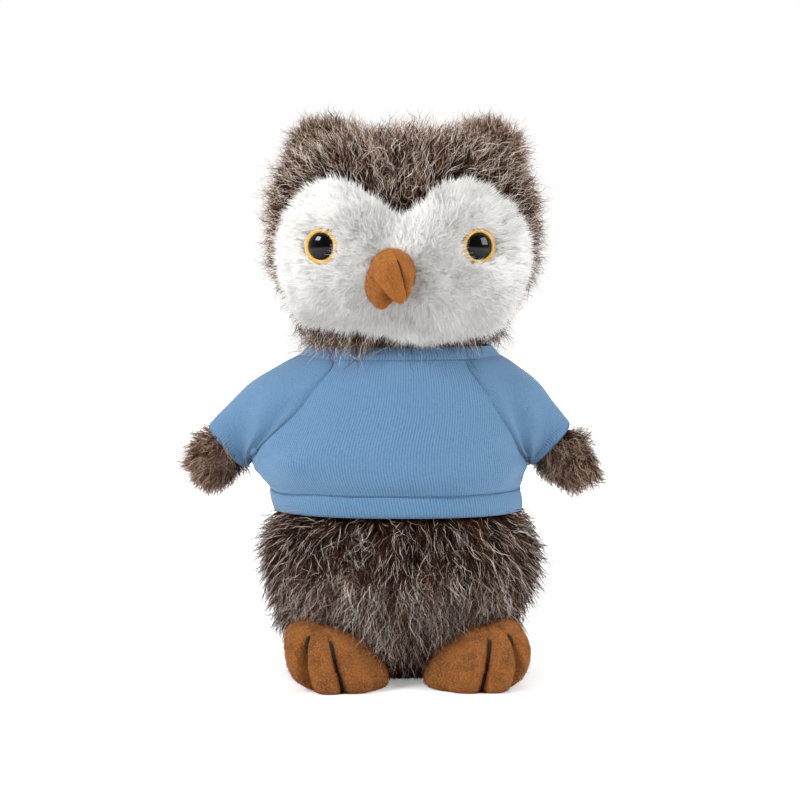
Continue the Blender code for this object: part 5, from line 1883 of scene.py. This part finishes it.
@dataclass
class Eye:
    """A safety eye: amber base and black dome, turned about its axis."""

    side: Side
    turn_deg: float = 25.0
    setback: float = 2.15 * MM
    iris_profile: tuple[tuple[float, float], ...] = (
        (3.0, -1.6), (4.3, -1.4), (4.85, -0.4), (4.98, 0.5), (4.92, 1.1), (4.7, 1.5), (4.35, 1.72),
        (3.95, 1.74), (3.6, 1.6), (3.2, 1.5), (0.0, 1.45),
    )

    def turned(self, profile: Array, columns: int) -> Skin:
        """Turn a profile about the eye's axis.

        Args:
            profile: Radius and height of each ring, in metres.
            columns: Points round each ring.

        Returns:
            The surface.
        """
        low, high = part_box(f"eye_{self.side.label}_pupil")
        turn = math.radians(self.turn_deg) * self.side.value
        front = np.array([math.sin(turn), -math.cos(turn), 0.0])
        upward = np.array([0.0, 0.0, 1.0])
        across = np.cross(upward, front)
        seat = 0.5 * (np.array(low) + np.array(high)) - self.setback * front
        angle = round_angles(columns)[None, :, None]
        radius, height = profile[:, 0, None, None], profile[:, 1, None, None]
        return Skin(seat + radius * (np.cos(angle) * across + np.sin(angle) * upward) + height * front)

    def make(self) -> None:
        """Build the amber base and the black dome."""
        label = self.side.label
        table = np.array(self.iris_profile) * MM
        smooth = smooth_rows(table, np.linspace(0.0, len(table) - 1.0, 60))
        smooth[:, 0] = np.maximum(smooth[:, 0], LEAST_RADIUS)
        wear(self.turned(smooth, 96).piece(f"eye_{label}_amber"), AMBER, "head",
             (f"eye_{label}_iris",))
        angle = np.linspace(0.0, 0.5 * math.pi, 30)
        dome = np.stack([3.66 * MM * np.cos(angle), 1.66 * MM + 1.6 * MM * np.sin(angle)], axis=1)
        dome = np.concatenate([[[3.5 * MM, 1.4 * MM]], dome])
        dome[-1, 0] = LEAST_RADIUS
        wear(self.turned(dome, 96).piece(f"eye_{label}_black"), BLACK, "head",
             (f"eye_{label}_pupil",))


@dataclass
class Beak:
    """The felt beak: an upper piece that hooks over, with a drawn-in seam, and a lower lobe at its side."""

    root: tuple[float, float, float] = (-2.3 * MM, -29.5 * MM, 110.4 * MM)
    upper: tuple[tuple[float, float, float, float, float], ...] = (
        (0.0, 0.0, 0.0, 5.2, 5.6), (0.1, -2.6, 0.1, 5.9, 6.4), (0.3, -5.2, -0.2, 6.1, 6.6),
        (0.8, -7.6, -1.2, 5.6, 5.9), (1.5, -9.4, -2.9, 4.5, 4.8), (2.1, -10.5, -4.9, 3.2, 3.5),
        (2.5, -10.9, -6.6, 1.9, 2.1), (2.7, -10.9, -7.6, 0.9, 1.0), (2.75, -10.8, -8.0, 0.0, 0.0),
    )
    lower: tuple[tuple[float, float, float, float, float], ...] = (
        (-1.7, 0.0, -2.0, 5.0, 5.6), (-2.0, -2.6, -2.5, 5.1, 5.8), (-2.3, -5.0, -3.5, 4.8, 5.4),
        (-2.5, -7.0, -5.1, 4.0, 4.5), (-2.5, -8.3, -6.9, 2.9, 3.2), (-2.4, -8.9, -8.5, 1.6, 1.8),
        (-2.3, -9.0, -9.6, 0.0, 0.0),
    )
    fuzz: Pile = Pile(0.7 * MM, 0.08 * MM, root_lean=0.5, tip_lean=0.7, rise=0.5, lock=0.4,
                      lock_size=2.0 * MM, loose=0.7, curl=0.2, joints=2)

    def lobe(self, table: tuple[tuple[float, float, float, float, float], ...], crease: float) -> Skin:
        """Rings along a bent middle line, square to it.

        A table row holds the middle's offset from the root and the ring's half width and half height, in
        millimetres. The crease is cut along the ring's top as depth exp(-(offset / width)^2).

        Args:
            table: Rows from the root to the tip.
            crease: Depth of the crease.

        Returns:
            The surface.
        """
        rows = smooth_rows(np.array(table) * MM, np.linspace(0.0, len(table) - 1.0, 56))
        path = np.array(self.root) + rows[:, :3]
        along = unit(np.gradient(path, axis=0))
        across = unit(np.cross(along, np.array([0.0, 0.0, 1.0])) + np.array([1e-6, 0.0, 0.0]))
        upward = np.cross(across, along)
        angle = -round_angles(96)
        from_top = np.angle(np.exp(1j * (angle - 0.51 * math.pi)))
        cut = crease * np.exp(-(from_top / math.radians(9.0))**2)
        cut = cut * np.clip(rows[:, 3:4] / (3.0 * MM), 0.0, 1.0)
        fade = np.clip((np.arange(56) - 14.0) / 12.0, 0.0, 1.0)[:, None]
        half = np.maximum(rows[:, 3:], LEAST_RADIUS)
        radius = 1.0 - cut * fade / np.maximum(half[:, 1:], 1.0 * MM)
        points = (path[:, None] + (radius * np.cos(angle) * half[:, :1])[..., None] * across[:, None]
                  + (radius * np.sin(angle) * half[:, 1:])[..., None] * upward[:, None])
        return Skin(points)

    def make(self) -> None:
        """Build the upper piece, the lower lobe, the seam and the fuzz."""
        upper = self.lobe(self.upper, 0.9 * MM)
        lower = self.lobe(self.lower, 0.0)
        wear(upper.piece("beak_upper_felt"), BEAK_FELT, "head", ("beak_upper",))
        # The lower lobe wears the darker copy of the beak felt, as painted shade.
        wear(lower.piece("beak_lower_felt"), SHADED_BEAK_FELT, "head", ("beak_lower",))
        wear(upper.grown(-1.0 * MM).piece("beak_filling"), FILLING, "head",
             ("beak_stuffing",))
        groove = int(round((1.0 - 0.255) * 96))
        path = upper.points[20:50, groove] + 0.05 * MM * upper.normals()[20:50, groove]
        seam = thread_along("beak_seam", path, 0.26 * MM)
        wear(seam, SEAM_THREAD, "head", ("beak_seam_thread",))
        for name, skin in (("upper", upper), ("lower", lower)):
            roots, normals = skin.scatter(2600, np.random.default_rng(SEED + 11))
            comb = np.tile([0.0, 0.0, -1.0], (len(roots), 1))
            grown = self.fuzz.grow(f"beak_{name}_fuzz", roots, normals, comb, SEED + 110)
            wear(grown, BEAK_FUZZ, "head")


def dress_hidden_nodes() -> None:
    """Give every CAD node that stays its finish: fillings, base panel and washers."""
    finishes = {
        "stuffing": FILLING,
        "base_panel": BackingFinish("base_cloth", srgb(48, 36, 29), srgb(82, 66, 55)),
        "washer": PlasticFinish("washer_plastic", srgb(206, 206, 204), srgb(226, 226, 224), 0.35),
    }
    made = {key: finish.material() for key, finish in finishes.items()}
    for name, node in frame["nodes"].items():
        for key, material in made.items():
            if key in name and not node.hide_render:
                node.data.materials.clear()
                node.data.materials.append(material)
                log.info("%s: dressed", name)


def main() -> None:
    """Build the owl sub-assembly by sub-assembly, with its floor and studio."""
    logging.basicConfig(level=logging.INFO, format="%(relativeCreated)d ms, %(name)s: %(message)s")
    Studio().make()
    Floor().make()
    Head().make()
    for side in Side:
        Eye(side).make()
    Beak().make()
    Body().make()
    Shirt().make()
    for shoulder in SHOULDERS:
        Wing(shoulder).make()
    Foot(Side.LEFT, 30.0).make()
    Foot(Side.RIGHT, -14.0).make()
    dress_hidden_nodes()


if __name__ == "__main__":
    main()
